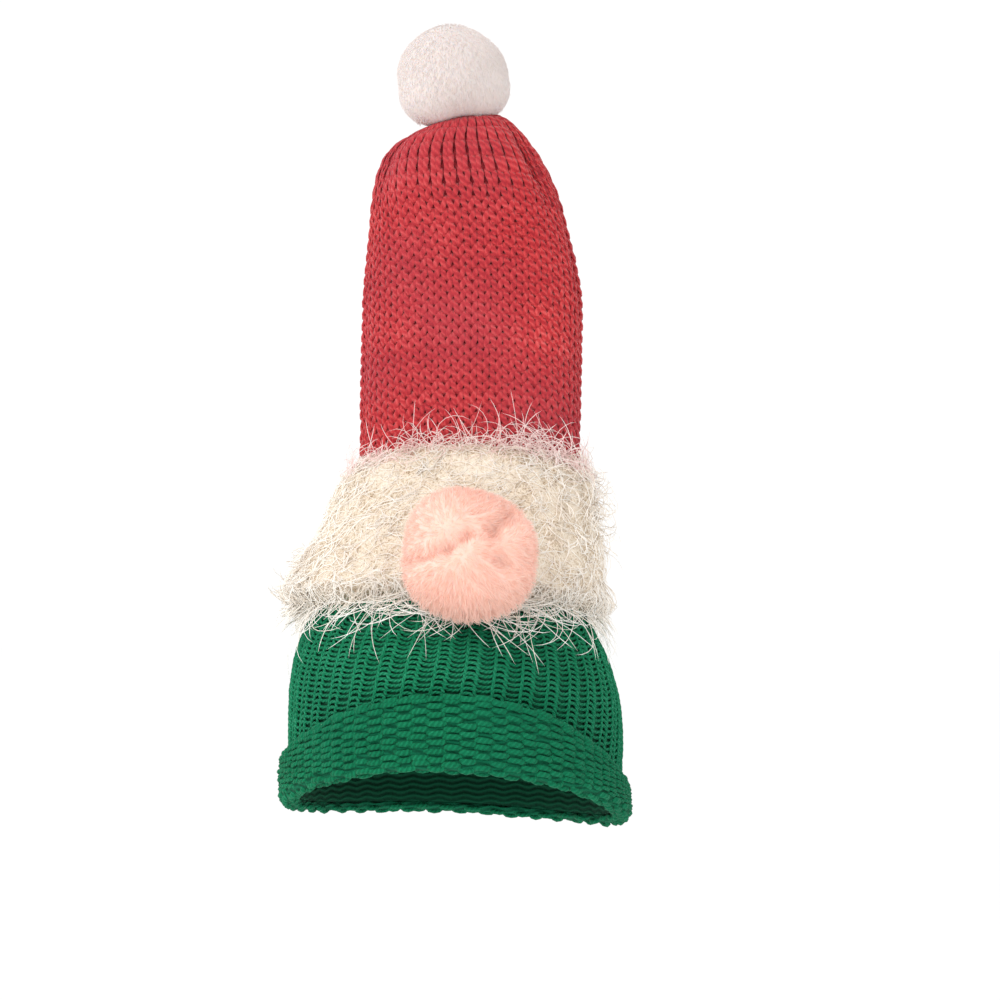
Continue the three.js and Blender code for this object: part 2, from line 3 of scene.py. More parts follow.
import bpy
import numpy as np
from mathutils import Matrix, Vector


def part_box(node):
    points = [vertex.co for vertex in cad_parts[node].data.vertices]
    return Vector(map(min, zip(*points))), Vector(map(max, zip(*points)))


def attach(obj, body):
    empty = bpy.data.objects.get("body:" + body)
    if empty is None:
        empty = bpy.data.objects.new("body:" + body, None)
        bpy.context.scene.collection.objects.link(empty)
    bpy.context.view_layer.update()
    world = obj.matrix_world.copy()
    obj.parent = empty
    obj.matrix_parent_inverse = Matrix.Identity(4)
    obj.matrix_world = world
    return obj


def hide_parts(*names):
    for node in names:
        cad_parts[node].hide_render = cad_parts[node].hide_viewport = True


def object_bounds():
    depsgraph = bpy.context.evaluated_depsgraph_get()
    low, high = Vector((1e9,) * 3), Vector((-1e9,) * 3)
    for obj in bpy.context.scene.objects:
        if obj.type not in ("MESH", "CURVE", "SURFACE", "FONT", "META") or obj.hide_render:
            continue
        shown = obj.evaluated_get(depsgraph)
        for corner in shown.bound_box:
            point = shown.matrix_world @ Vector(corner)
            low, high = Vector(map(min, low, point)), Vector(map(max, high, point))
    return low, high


# A knitted gnome hat. The knit and its sizes are worked out in millimetres, in the frame of the CAD model,
# and meshes are made in metres.
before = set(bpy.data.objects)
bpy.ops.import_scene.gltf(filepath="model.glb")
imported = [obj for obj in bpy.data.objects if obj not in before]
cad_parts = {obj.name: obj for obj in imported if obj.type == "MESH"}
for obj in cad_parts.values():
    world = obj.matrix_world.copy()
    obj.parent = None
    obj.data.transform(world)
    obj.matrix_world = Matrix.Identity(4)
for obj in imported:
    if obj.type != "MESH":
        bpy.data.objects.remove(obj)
cad_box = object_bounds()
MM = 0.001
TURN = 2 * math.pi
rng = np.random.default_rng(20)

# Sizes of the knit, as in the CAD model
HEAD_WIDTH = 172
HEAD_DEPTH = 196
BODY_HEIGHT = 111
GREEN_WALL = 4.6
RIM_FRONT = 28
RIM_BACK = -6
RIM_ASIDE = -4
ROLL_FRONT = 45
ROLL_LEFT = 25
ROLL_RIGHT = 18
ROLL_BACK = 33
ROLL_BEND = 3.2
BAND_HEIGHT = 91
BAND_WALL = 4
CROWN_WIDTH = 122.6
CROWN_DEPTH = 42
CROWN_HEIGHT = 180
RED_WALL = 4.2
COURSE_DROOP = 7.5
BEARD_THICKNESS = 9
BEARD_FLARE = 0.7
SEAM_GAP = 0.3
FUR_CLEAR = 0.5

# Stitches: how many go round the hat, how wide a red one is, how far apart the rows are, and how far
# the plies take to wind once
WALES = 40
RED_STITCH = 7.15
RED_ROW = 6.2
GREEN_ROW = 3.3
BAND_ROW = 5.5
RED_PLY = 8.0
GREEN_PLY = 5.0
PLIES = 2


def table(columns, rows):
    """Rows of numbers as dicts under the names of their columns."""
    names = columns.split()
    return [dict(zip(names, row)) for row in rows]


# Sections of the green body, the band and the crown, with lengths as shares of the sizes above
BODY_FORM = table("up wide deep aside square rise droop", [
    (0.0, 0.985, 0.985, 0.0, 2.1, 1.0, 0.0),
    (0.3, 1.01, 1.01, 0.0, 2.1, 0.85, 0.0),
    (0.45, 1.01, 1.01, 0.0, 2.1, 0.75, 0.0),
    (0.6, 0.997, 0.985, -0.004, 2.1, 0.62, 0.1),
    (0.775, 0.95, 0.9, -0.012, 2.1, 0.42, 0.2),
    (0.885, 0.9, 0.82, -0.016, 2.1, 0.3, 0.3),
    (1.0, 0.845, 0.72, -0.014, 2.1, 0.2, 0.4),
])
BAND_FORM = table("up blend", [(0.32, 0.36), (0.65, 0.71)])
CROWN_FORM = table("up wide deep aside square lean droop", [
    (0.0, 1.0, 1.3, 0.06, 2.3, 0.0, 1.0),
    (0.2, 1.0, 1.12, 0.065, 2.5, 0.0, 1.0),
    (0.42, 1.0, 1.0, 0.073, 2.6, 0.0, 1.0),
    (0.51, 0.992, 1.0, 0.074, 2.6, 0.0, 0.95),
    (0.6, 0.955, 1.0, 0.068, 2.6, 0.0, 0.9),
    (0.69, 0.91, 0.98, 0.058, 2.5, 0.0, 0.8),
    (0.78, 0.86, 0.95, 0.044, 2.4, 0.003, 0.6),
    (0.87, 0.76, 0.9, 0.026, 2.3, 0.006, 0.35),
    (0.93, 0.635, 0.82, 0.02, 2.2, 0.012, 0.2),
    (0.975, 0.46, 0.68, 0.034, 2.1, 0.02, 0.1),
    (1.0, 0.28, 0.48, 0.04, 2.0, 0.024, 0.0),
    (0.99, 0.135, 0.3, 0.012, 2.0, 0.012, 0.0),
    (0.965, 0.072, 0.21, -0.012, 2.0, 0.003, 0.0),
])
CROWN_FOLDS = table("turn up wide tall deep", [
    (56, 0.86, 9, 0.1, 0.14),
    (80, 0.6, 8, 0.22, 0.05),
    (-62, 0.88, 10, 0.08, 0.07),
    (-76, 0.3, 9, 0.2, 0.04),
    (200, 0.55, 16, 0.25, 0.09),
])
FOLD_FADE = (0.86, 0.95)


# The knit tube
def knit_rows():
    """Sections from the rim to the gathered hole, each a dict of numbers in millimetres."""
    body = [{
        "z": BODY_HEIGHT * row["up"],
        "half_width": row["wide"] * (HEAD_WIDTH + GREEN_WALL) / 2,
        "half_depth": row["deep"] * (HEAD_DEPTH + GREEN_WALL) / 2,
        "x": row["aside"] * HEAD_WIDTH,
        "square": row["square"],
        "rise": row["rise"],
        "lean": row["rise"] * RIM_ASIDE,
        "droop": row["droop"] * COURSE_DROOP,
    } for row in BODY_FORM]
    crown = [{
        "z": BODY_HEIGHT + BAND_HEIGHT + CROWN_HEIGHT * row["up"],
        "half_width": row["wide"] * (CROWN_WIDTH - RED_WALL) / 2,
        "half_depth": row["deep"] * (CROWN_DEPTH - RED_WALL) / 2,
        "x": row["aside"] * CROWN_WIDTH,
        "square": row["square"],
        "rise": 0,
        "lean": row["lean"] * CROWN_WIDTH,
        "droop": row["droop"] * COURSE_DROOP,
    } for row in CROWN_FORM]
    band = []
    for row in BAND_FORM:
        mixed = {key: body[-1][key] + row["blend"] * (crown[0][key] - body[-1][key]) for key in body[-1]}
        mixed["z"] = BODY_HEIGHT + BAND_HEIGHT * row["up"]
        band.append(mixed)
    rows = body + band + crown
    rows[0]["station"] = 0.0
    for below, row in zip(rows, rows[1:]):
        inward = (row["half_width"] - below["half_width"] + row["half_depth"] - below["half_depth"]) / 2
        row["station"] = below["station"] + math.hypot(row["z"] - below["z"], inward)
    return rows, body[-1]["station"], crown[0]["station"], crown[-1]["station"]


KNIT_ROWS, BODY_TOP, CROWN_FOOT, CROWN_END = knit_rows()
KNIT = {key: np.array([row[key] for row in KNIT_ROWS], float) for key in KNIT_ROWS[0]}
STATIONS = KNIT["station"]


def section_at(station):
    """The section at each station along the knit, on a smooth curve through the rows."""
    last = len(STATIONS) - 1
    i = np.clip(np.searchsorted(STATIONS, station, side="right") - 1, 0, last - 1)
    before = np.maximum(i - 1, 0)
    after = np.minimum(i + 2, last)
    span = STATIONS[i + 1] - STATIONS[i]
    t = (station - STATIONS[i]) / span
    made = {}
    for key, column in KNIT.items():
        slope_a = (column[i + 1] - column[before]) / (STATIONS[i + 1] - STATIONS[before])
        slope_b = (column[after] - column[i]) / (STATIONS[after] - STATIONS[i])
        made[key] = (
            column[i] * (2 * t**3 - 3 * t**2 + 1)
            + slope_a * span * (t**3 - 2 * t**2 + t)
            + column[i + 1] * (3 * t**2 - 2 * t**3)
            + slope_b * span * (t**3 - t**2)
        )
    return made


def middle_point(station, turn):
    """Points on the middle of the knit. The turn is in radians from the front, towards +X."""
    section = section_at(station)
    power = 2 / section["square"]
    side, front = np.sin(turn), np.cos(turn)
    x = section["half_width"] * np.sign(side) * np.abs(side) ** power
    y = -section["half_depth"] * np.sign(front) * np.abs(front) ** power
    ahead = -y / section["half_depth"]
    rise = (RIM_FRONT - RIM_BACK) / 2 * ahead + (RIM_FRONT + RIM_BACK) / 2 * ahead**2
    lean = section["lean"] * x / section["half_width"]
    z = section["z"] + section["rise"] * rise + lean - section["droop"] * side**2
    return np.stack([section["x"] + x, y, z], -1)


def unit(v):
    return v / np.maximum(np.linalg.norm(v, axis=-1, keepdims=True), 1e-9)


def directions(station, turn):
    """Unit directions along the knit, round it and out of it, and how far one radian goes round it."""
    step, swing = 0.5, math.radians(1.5)
    along = unit(middle_point(station + step, turn) - middle_point(station - step, turn))
    chord = middle_point(station, turn + swing) - middle_point(station, turn - swing)
    around = unit(chord)
    reach = np.linalg.norm(chord, axis=-1) / (2 * swing)
    return along, around, unit(np.cross(around, along)), reach


def smooth(x, start, end):
    t = np.clip((x - start) / (end - start), 0, 1)
    return t * t * (3 - 2 * t)


def relief(station, turn):
    """How far the crown's folds press the knit in."""
    up = (station - CROWN_FOOT) / (CROWN_END - CROWN_FOOT)
    height = (section_at(station)["z"] - BODY_HEIGHT - BAND_HEIGHT) / CROWN_HEIGHT
    folded = (1 - smooth(up, *FOLD_FADE)) * (station > CROWN_FOOT)
    lift = np.zeros(np.broadcast(station, turn).shape)
    for fold in CROWN_FOLDS:
        away = turn - math.radians(fold["turn"])
        away = np.arctan2(np.sin(away), np.cos(away)) / math.radians(fold["wide"])
        press = np.exp(-(away**2)) * np.exp(-(((height - fold["up"]) / fold["tall"]) ** 2))
        lift -= CROWN_DEPTH * fold["deep"] * press * folded
    return lift


def knit_point(out, station, turn):
    """Points a given way out from the middle of the knit."""
    way = directions(station, turn)[2]
    return middle_point(station, turn) + way * (out + relief(station, turn))[..., None]


def even_table():
    """Turns at even distances round the knit, for a run of stations."""
    stations = np.linspace(-8, CROWN_END + 6, 150)
    turns = np.linspace(0, TURN, 721)
    points = middle_point(*np.meshgrid(stations, turns, indexing="ij"))
    steps = np.linalg.norm(np.diff(points, axis=1), axis=-1)
    gone = np.concatenate([np.zeros((len(stations), 1)), np.cumsum(steps, axis=1)], 1)
    return stations, np.array([np.interp(np.linspace(0, 1, 361), row / row[-1], turns) for row in gone])


EVEN_STATIONS, EVEN_TURNS = even_table()


def even_turn(station, turn):
    """The turn at which a share of the way round is reached, so that stitches are evenly wide."""
    whole = np.floor(turn / TURN)
    round_share = (turn / TURN - whole) * (EVEN_TURNS.shape[1] - 1)
    up_share = (station - EVEN_STATIONS[0]) / (EVEN_STATIONS[1] - EVEN_STATIONS[0])
    i = np.clip(up_share.astype(int), 0, len(EVEN_STATIONS) - 2)
    j = np.clip(round_share.astype(int), 0, EVEN_TURNS.shape[1] - 2)
    a, b = up_share - i, round_share - j
    low = EVEN_TURNS[i, j] * (1 - b) + EVEN_TURNS[i, j + 1] * b
    high = EVEN_TURNS[i + 1, j] * (1 - b) + EVEN_TURNS[i + 1, j + 1] * b
    return whole * TURN + low * (1 - a) + high * a


# Meshes from arrays
def mesh_object(name, points, faces, material, marks=None, rounded=True):
    """A mesh of four-sided and three-sided faces, in metres, with numbers marked on points or corners."""
    mesh = bpy.data.meshes.new(name)
    points = np.asarray(points, np.float32).reshape(-1, 3) * MM
    faces = [np.asarray(group, np.int32) for group in faces if len(group)]
    sizes = np.concatenate([np.full(len(group), group.shape[1], np.int32) for group in faces])
    corners = np.concatenate([group.reshape(-1) for group in faces])
    mesh.vertices.add(len(points))
    mesh.vertices.foreach_set("co", points.reshape(-1))
    mesh.loops.add(len(corners))
    mesh.loops.foreach_set("vertex_index", corners)
    mesh.polygons.add(len(sizes))
    starts = np.concatenate([[0], np.cumsum(sizes)[:-1]])
    mesh.polygons.foreach_set("loop_start", starts.astype(np.int32))
    mesh.polygons.foreach_set("use_smooth", np.full(len(sizes), rounded))
    for key, values in (marks or {}).items():
        kind = "FLOAT" if values.ndim == 1 else "FLOAT_VECTOR"
        layer = mesh.attributes.new(key, kind, "POINT" if len(values) == len(points) else "CORNER")
        field = "value" if kind == "FLOAT" else "vector"
        layer.data.foreach_set(field, values.astype(np.float32).reshape(-1))
    mesh.update(calc_edges=True)
    mesh.validate()
    mesh.materials.append(material)
    piece = bpy.data.objects.new(name, mesh)
    bpy.context.collection.objects.link(piece)
    return piece


def settle(piece, slot, *nodes):
    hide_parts(*nodes)
    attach(piece, "root")
    return piece


def grid_faces(rows, columns, start=0, closed_rows=True, closed_columns=True):
    """Four-sided faces of a grid of points whose rows and columns may close on themselves."""
    r = np.arange(rows if closed_rows else rows - 1)
    c = np.arange(columns if closed_columns else columns - 1)
    r, c = np.meshgrid(r, c, indexing="ij")
    below, beside = (r + 1) % rows, (c + 1) % columns
    here, next_row = r * columns, below * columns
    quads = np.stack([here + c, here + beside, next_row + beside, next_row + c], -1)
    return quads.reshape(-1, 4) + start


def tube_rings(paths, radius, outward, sides, flat=1.0):
    """Rings of points round each point of each path. The first direction of a ring lies along outward."""
    tangent = unit(np.gradient(paths, axis=1))
    across = unit(np.cross(tangent, outward))
    lift = np.cross(across, tangent)
    angle = np.arange(sides) / sides * TURN
    lifted = np.cos(angle)[:, None] * lift[:, :, None] * flat
    ring = lifted + np.sin(angle)[:, None] * across[:, :, None]
    return paths[:, :, None] + ring * radius[..., None, None]


def closed_tubes(name, paths, radius, outward, material, tone, ply_length, sides=6, flat=1.0):
    """Yarns that close on themselves round the hat, as one mesh.

    Their twist is marked on the corners of their faces, in whole windings of the plies on the way round.
    """
    count, length = paths.shape[:2]
    wrapped = np.concatenate([paths[:, -1:], paths, paths[:, :1]], 1)
    facing = np.concatenate([outward[:, -1:], outward, outward[:, :1]], 1)
    wide = np.concatenate([radius[:, -1:], radius, radius[:, :1]], 1)
    rings = tube_rings(wrapped, wide, facing, sides, flat)[:, 1:-1]
    one = grid_faces(length, sides)
    quads = (one[None] + (np.arange(count) * length * sides)[:, None, None]).reshape(-1, 4)
    gone = np.cumsum(np.linalg.norm(np.diff(wrapped[:, :-1], axis=1), axis=-1), axis=1)
    whole = gone[:, -1:] + np.linalg.norm(wrapped[:, -1:] - wrapped[:, -2:-1], axis=-1) - gone[:, :1]
    wound = np.concatenate([gone - gone[:, :1], whole], 1) / whole * np.round(whole / ply_length)
    r, c = np.meshgrid(np.arange(length), np.arange(sides), indexing="ij")
    along = wound[:, np.stack([r, r, r + 1, r + 1], -1)]
    spin = np.broadcast_to(np.stack([c, c + 1, c + 1, c], -1) / sides, along.shape)
    twist = np.stack([along, spin, np.zeros(along.shape)], -1)
    tones = np.broadcast_to(tone[..., None], (count, length, sides))
    marks = {"twist": twist.reshape(-1, 3), "tone": tones.reshape(-1)}
    return mesh_object(name, rings, [quads], material, marks)


def hair_object(name, paths, radius, outward, material, tone):
    """Fine three-sided hairs that end in a tip, as one mesh that marks how far along each point is."""
    count, length = paths.shape[:2]
    rings = tube_rings(paths[:, :-1], radius[:, :-1], outward[:, None], 3)
    body = rings.reshape(count, -1, 3)
    points = np.concatenate([body, paths[:, -1:]], 1)
    each = points.shape[1]
    quads = grid_faces(length - 1, 3, closed_rows=False)
    last = (length - 2) * 3
    ends = np.array([[last + i, last + (i + 1) % 3, each - 1] for i in range(3)] + [[2, 1, 0]])
    start = (np.arange(count) * each)[:, None, None]
    along = np.concatenate([np.repeat(np.arange(length - 1), 3), [length - 1]]) / (length - 1)
    faces = [(quads[None] + start).reshape(-1, 4), (ends[None] + start).reshape(-1, 3)]
    marks = {"tone": np.repeat(tone, each), "along": np.tile(along, count)}
    return mesh_object(name, points, faces, material, marks, rounded=False)


def turned_shell(name, profile, columns, place, material):
    """A closed profile of (out, station) points turned round the hat."""
    turn = np.arange(columns) / columns * TURN
    out = np.array([p[0] for p in profile], float)[:, None] + 0 * turn
    station = np.array([p[1] for p in profile], float)[:, None] + 0 * turn
    points = place(out, station, turn[None] + 0 * out)
    quads = grid_faces(len(profile), columns)
    return mesh_object(name, points, [quads], material)


# Materials
def shader_nodes(name):
    material = bpy.data.materials.new(name)
    material.use_nodes = True
    tree = material.node_tree
    tree.nodes.clear()
    output = tree.nodes.new("ShaderNodeOutputMaterial")
    shader = tree.nodes.new("ShaderNodeBsdfPrincipled")
    tree.links.new(shader.outputs["BSDF"], output.inputs["Surface"])
    return material, tree, shader


def add_node(tree, kind, inputs=None, **settings):
    made = tree.nodes.new("ShaderNode" + kind)
    for key, value in settings.items():
        setattr(made, key, value)
    for key, value in (inputs or {}).items():
        if isinstance(value, bpy.types.NodeSocket):
            tree.links.new(value, made.inputs[key])
        else:
            made.inputs[key].default_value = value
    return made


def math_node(tree, operation, a, b=0.0, c=0.0):
    return add_node(tree, "Math", {0: a, 1: b, 2: c}, operation=operation).outputs[0]


def mark(tree, name, output):
    return add_node(tree, "Attribute", attribute_name=name).outputs[output]


def noise(tree, scale, detail=2.0, roughness=0.6):
    place = add_node(tree, "TexCoord").outputs["Object"]
    settings = {"Vector": place, "Scale": scale, "Detail": detail, "Roughness": roughness}
    return add_node(tree, "TexNoise", settings).outputs["Fac"]


def ramp(tree, factor, stops):
    made = add_node(tree, "ValToRGB", {"Fac": factor})
    stripes = made.color_ramp.elements
    while len(stripes) < len(stops):
        stripes.new(0.5)
    for stripe, (place, colour) in zip(stripes, stops):
        stripe.position = place
        stripe.color = (*colour, 1)
    return made.outputs["Color"]


def linear(red, green, blue):
    """A colour in linear light from its 0 to 255 screen values."""
    shares = [v / 255 for v in (red, green, blue)]
    return tuple(v / 12.92 if v <= 0.04045 else ((v + 0.055) / 1.055) ** 2.4 for v in shares)


def yarn_material(name, stops, wash, fuzz, heather, sheen):
    """Twisted yarn: its plies wind round it, its colour wanders along it, and short fibres roughen it."""
    material, tree, shader = shader_nodes(name)
    twist = add_node(tree, "SeparateXYZ", {"Vector": mark(tree, "twist", "Vector")})
    wound = math_node(tree, "ADD", twist.outputs["X"], twist.outputs["Y"])
    wave = math_node(tree, "SINE", math_node(tree, "MULTIPLY", wound, TURN * PLIES))
    ply = math_node(tree, "MULTIPLY_ADD", wave, 0.5, 0.5)
    flecks = noise(tree, 1400, 3.0, 0.75)
    patches = noise(tree, 22, 2.0)
    tone = mark(tree, "tone", "Fac")
    mixed = math_node(tree, "MULTIPLY_ADD", flecks, 0.5, tone)
    mixed = math_node(tree, "MULTIPLY_ADD", ply, heather, mixed)
    mixed = math_node(tree, "MULTIPLY_ADD", patches, 0.25, mixed)
    window = {"Value": noise(tree, 13, 1.0), "From Min": 0.4, "From Max": 0.65, "To Max": 0.45}
    washed = add_node(tree, "MapRange", window)
    colour = add_node(tree, "Mix", {6: ramp(tree, mixed, stops), 7: (*wash, 1)}, data_type="RGBA")
    tree.links.new(washed.outputs["Result"], colour.inputs[0])
    tree.links.new(colour.outputs[2], shader.inputs["Base Color"])
    shader.inputs["Roughness"].default_value = 0.85
    shader.inputs["Specular IOR Level"].default_value = 0.12
    shader.inputs["Sheen Weight"].default_value = sheen
    shader.inputs["Sheen Roughness"].default_value = 0.5
    height = math_node(tree, "MULTIPLY_ADD", flecks, fuzz, ply)
    bump = add_node(tree, "Bump", {"Height": height, "Strength": 0.7, "Distance": 0.0006})
    tree.links.new(bump.outputs["Normal"], shader.inputs["Normal"])
    return material


def lining_material(name, dark, light, row):
    """The inside of the knit: rows of low bumps, waved from stitch to stitch, coloured in painted shade."""
    material, tree, shader = shader_nodes(name)
    place = add_node(tree, "TexCoord").outputs["Object"]
    axes = add_node(tree, "SeparateXYZ", {"Vector": place})
    turn = math_node(tree, "ARCTAN2", axes.outputs["Y"], axes.outputs["X"])
    wave = math_node(tree, "SINE", math_node(tree, "MULTIPLY", turn, float(WALES)))
    waved = math_node(tree, "MULTIPLY", wave, 1.3)
    course = math_node(tree, "MULTIPLY_ADD", axes.outputs["Z"], TURN / (row * MM), waved)
    ridge = math_node(tree, "MULTIPLY_ADD", math_node(tree, "SINE", course), 0.5, 0.5)
    flecks = noise(tree, 900, 3.0, 0.7)
    mixed = math_node(tree, "MULTIPLY_ADD", ridge, 0.45, math_node(tree, "MULTIPLY", flecks, 0.8))
    # Painted shade: the dark colour fills the grooves between the rows of bumps.
    tree.links.new(ramp(tree, mixed, [(0.25, dark), (0.8, light)]), shader.inputs["Base Color"])
    shader.inputs["Roughness"].default_value = 0.95
    shader.inputs["Specular IOR Level"].default_value = 0.15
    height = math_node(tree, "MULTIPLY_ADD", flecks, 0.5, ridge)
    bump = add_node(tree, "Bump", {"Height": height, "Strength": 0.8, "Distance": 0.001})
    tree.links.new(bump.outputs["Normal"], shader.inputs["Normal"])
    return material


def fur_material(name, stops, roughness, sheen, depth):
    """Fur: darker at the roots in painted shade, paler at the tips, each hair a little different."""
    material, tree, shader = shader_nodes(name)
    mixed = math_node(tree, "MULTIPLY_ADD", mark(tree, "along", "Fac"), 0.4, mark(tree, "tone", "Fac"))
    mixed = math_node(tree, "MULTIPLY_ADD", noise(tree, 60, 2.0), 0.2, mixed)
    tree.links.new(ramp(tree, mixed, stops), shader.inputs["Base Color"])
    shader.inputs["Roughness"].default_value = roughness
    shader.inputs["Specular IOR Level"].default_value = 0.3
    shader.inputs["Sheen Weight"].default_value = sheen
    shader.inputs["Subsurface Weight"].default_value = depth
    shader.inputs["Subsurface Radius"].default_value = (1.0, 0.7, 0.5)
    shader.inputs["Subsurface Scale"].default_value = 0.006
    return material


def mat_material(name):
    """The tangled ground of the fur yarn: cream, with painted shade in small tan specks between its fibres.
    """
    material, tree, shader = shader_nodes(name)
    tangle = noise(tree, 800, 4.0, 0.8)
    mixed = math_node(tree, "MULTIPLY_ADD", noise(tree, 90, 2.0), 0.3, tangle)
    # Painted shade: the tan stop marks the specks of shade between the fibres.
    stops = [(0.5, linear(166, 140, 112)), (0.6, linear(224, 206, 182)), (0.72, linear(244, 232, 215))]
    tree.links.new(ramp(tree, mixed, stops), shader.inputs["Base Color"])
    shader.inputs["Roughness"].default_value = 0.8
    shader.inputs["Specular IOR Level"].default_value = 0.2
    bump = add_node(tree, "Bump", {"Height": tangle, "Strength": 0.6, "Distance": 0.001})
    tree.links.new(bump.outputs["Normal"], shader.inputs["Normal"])
    return material


RED_STOPS = [
    (0.25, linear(110, 18, 30)),
    (0.5, linear(174, 41, 48)),
    (0.7, linear(199, 57, 60)),
    (0.95, linear(226, 96, 95)),
]
RED_WASH = linear(176, 62, 74)
GREEN_STOPS = [
    (0.25, linear(4, 70, 44)),
    (0.5, linear(8, 106, 70)),
    (0.7, linear(16, 124, 84)),
    (0.95, linear(52, 156, 116)),
]
GREEN_WASH = linear(10, 106, 74)
red_yarn = yarn_material("red_yarn_knit", RED_STOPS, RED_WASH, fuzz=0.8, heather=0.28, sheen=0.2)
green_yarn = yarn_material("green_yarn_knit", GREEN_STOPS, GREEN_WASH, fuzz=0.9, heather=0.24, sheen=0.02)
# Linings: the yarns' colours darkened as painted shade for the holes between stitches; the roll's ground is
# less dark.
red_lining = lining_material("red_yarn_lining", linear(128, 34, 42), linear(168, 56, 62), RED_ROW)
green_lining = lining_material("green_yarn_lining", linear(3, 40, 26), linear(8, 74, 50), GREEN_ROW)
roll_ground = lining_material("green_roll_ground", linear(5, 62, 42), linear(12, 104, 72), GREEN_ROW)
cream_lining = lining_material("cream_yarn_lining", linear(150, 128, 106), linear(232, 216, 196), BAND_ROW)

# The lowest stop of each fur colour is painted shade, taken by hair roots, cores and the strands painted
# dark.
CREAM_STOPS = [(0.05, linear(160, 140, 120)), (0.3, linear(243, 232, 218)), (0.8, linear(254, 251, 246))]
# Cream strands over the red knit are tinted pink: painted red light from the knit beneath.
RED_LIT_CREAM_STOPS = [(0.05, linear(226, 176, 172)), (0.3, linear(248, 218, 214)), (0.8, linear(255, 240, 236))]
PINK_STOPS = [(0.05, linear(238, 164, 146)), (0.45, linear(252, 207, 190)), (0.9, linear(255, 225, 213))]
WHITE_STOPS = [(0.05, linear(208, 197, 193)), (0.45, linear(220, 209, 205)), (0.9, linear(227, 218, 214))]
GLOSSY = {"roughness": 0.35, "sheen": 0.1, "depth": 0.0}
GROUND = {"roughness": 0.9, "sheen": 0.2, "depth": 0.5}
SOFT = {"roughness": 0.8, "sheen": 0.2, "depth": 0.0}
cream_fur = fur_material("cream_fur_strands", CREAM_STOPS, **GLOSSY)
red_lit_fur = fur_material("cream_fur_strands_over_red", RED_LIT_CREAM_STOPS, **GLOSSY)
cream_base = mat_material("cream_fur_mat")
pink_core = fur_material("pink_fur_ground", PINK_STOPS, **GROUND)
pink_fur = fur_material("pink_fur_hair", PINK_STOPS, **SOFT)
white_core = fur_material("white_fur_ground", WHITE_STOPS, **GROUND)
white_fur = fur_material("white_fur_hair", WHITE_STOPS, **SOFT)


# Stitches
def course_paths(rows, points, place, shape, lean=None, uneven=0.07):
    """The yarn of each row of stitches, as a closed path round the hat.

    shape has the loops' swing, height and depth. Its tilt brings one end of each leg forward, its sink
    sets the lower arcs back, narrow draws the upper arcs in, and fan spreads the columns in front.
    """
    rows = np.asarray(rows, float)
    each = np.arange(WALES * points) / points
    phase = each * TURN
    phase = phase + shape["crowd"] * np.sin(2 * phase)

    def wander(amount):
        values = rng.normal(0, amount, (len(rows), WALES))
        values = np.concatenate([values, values[:, :1]], 1)
        return np.array([np.interp(each % WALES, np.arange(WALES + 1), row) for row in values])

    half = np.cos(phase)
    swing = shape["swing"] * np.sin(2 * phase) * (1 + wander(uneven)) + wander(uneven * 1.4)
    swing = swing - shape.get("narrow", 0) * np.sin(phase)
    turn = (phase + swing) / WALES + (0 if lean is None else lean(rows)[:, None])
    turn = turn + shape.get("fan", 0) * np.sin(2 * turn)
    height = shape["height"] * np.sign(half) * np.abs(half) ** shape["corner"]
    station = rows[:, None] + height * (1 + wander(uneven)) + wander(uneven * 2.5)
    out = -shape["depth"] * np.cos(2 * phase) - shape["tilt"] * half * np.sin(phase) ** 2
    out = out + shape["sink"] * half**3 + wander(uneven * 2)
    tone = np.repeat(rng.normal(0, 0.03, (len(rows), WALES)), points, axis=1)
    tone = tone + rng.normal(0, 0.02, (len(rows), 1))
    turn = even_turn(station, turn)
    path = place(out, station, turn)
    outward = unit(place(out + 0.5, station, turn) - path)
    return path, outward, tone, station, turn


FAN = 0.2  # how far the crown's columns spread in front as they go up, which crowds them at its sides
FAN_FROM = (0.4, 0.85)  # from where to where, as shares of the way up the crown
LEAST_WIDTH = 0.25


def fan_at(station):
    return FAN * smooth((station - CROWN_FOOT) / (CROWN_END - CROWN_FOOT), *FAN_FROM)


def crowding(station, turn):
    """How much of its full width a red stitch has where the knit is gathered."""
    reach = directions(station, turn)[3] * (1 + 2 * fan_at(station) * np.cos(2 * turn))
    return np.clip(reach * TURN / WALES / RED_STITCH, LEAST_WIDTH, 1.0)


GATHER = (0.58, 0.78)  # where the stitches stretch into ribs, as shares of the way up the crown
GATHER_STRETCH = 0.45
CROWN_STEPS = 11  # points of yarn in each stitch
CROWN_YARN = 1.8
CROWN_FACE = 0.3  # how far out of the middle of the knit the yarn runs
CROWN_TONE = 0.12


def crown_rows():
    """Stations of the crown's rows of stitches, and how much the gathered ones are stretched."""
    rows, gathered = [CROWN_FOOT - RED_ROW], [0.0]
    while rows[-1] < CROWN_END - RED_ROW:
        up = (rows[-1] - CROWN_FOOT) / (CROWN_END - CROWN_FOOT)
        gathered.append(float(smooth(up, *GATHER)))
        rows.append(rows[-1] + RED_ROW * (1 + GATHER_STRETCH * gathered[-1]))
    return np.array(rows), np.array(gathered)


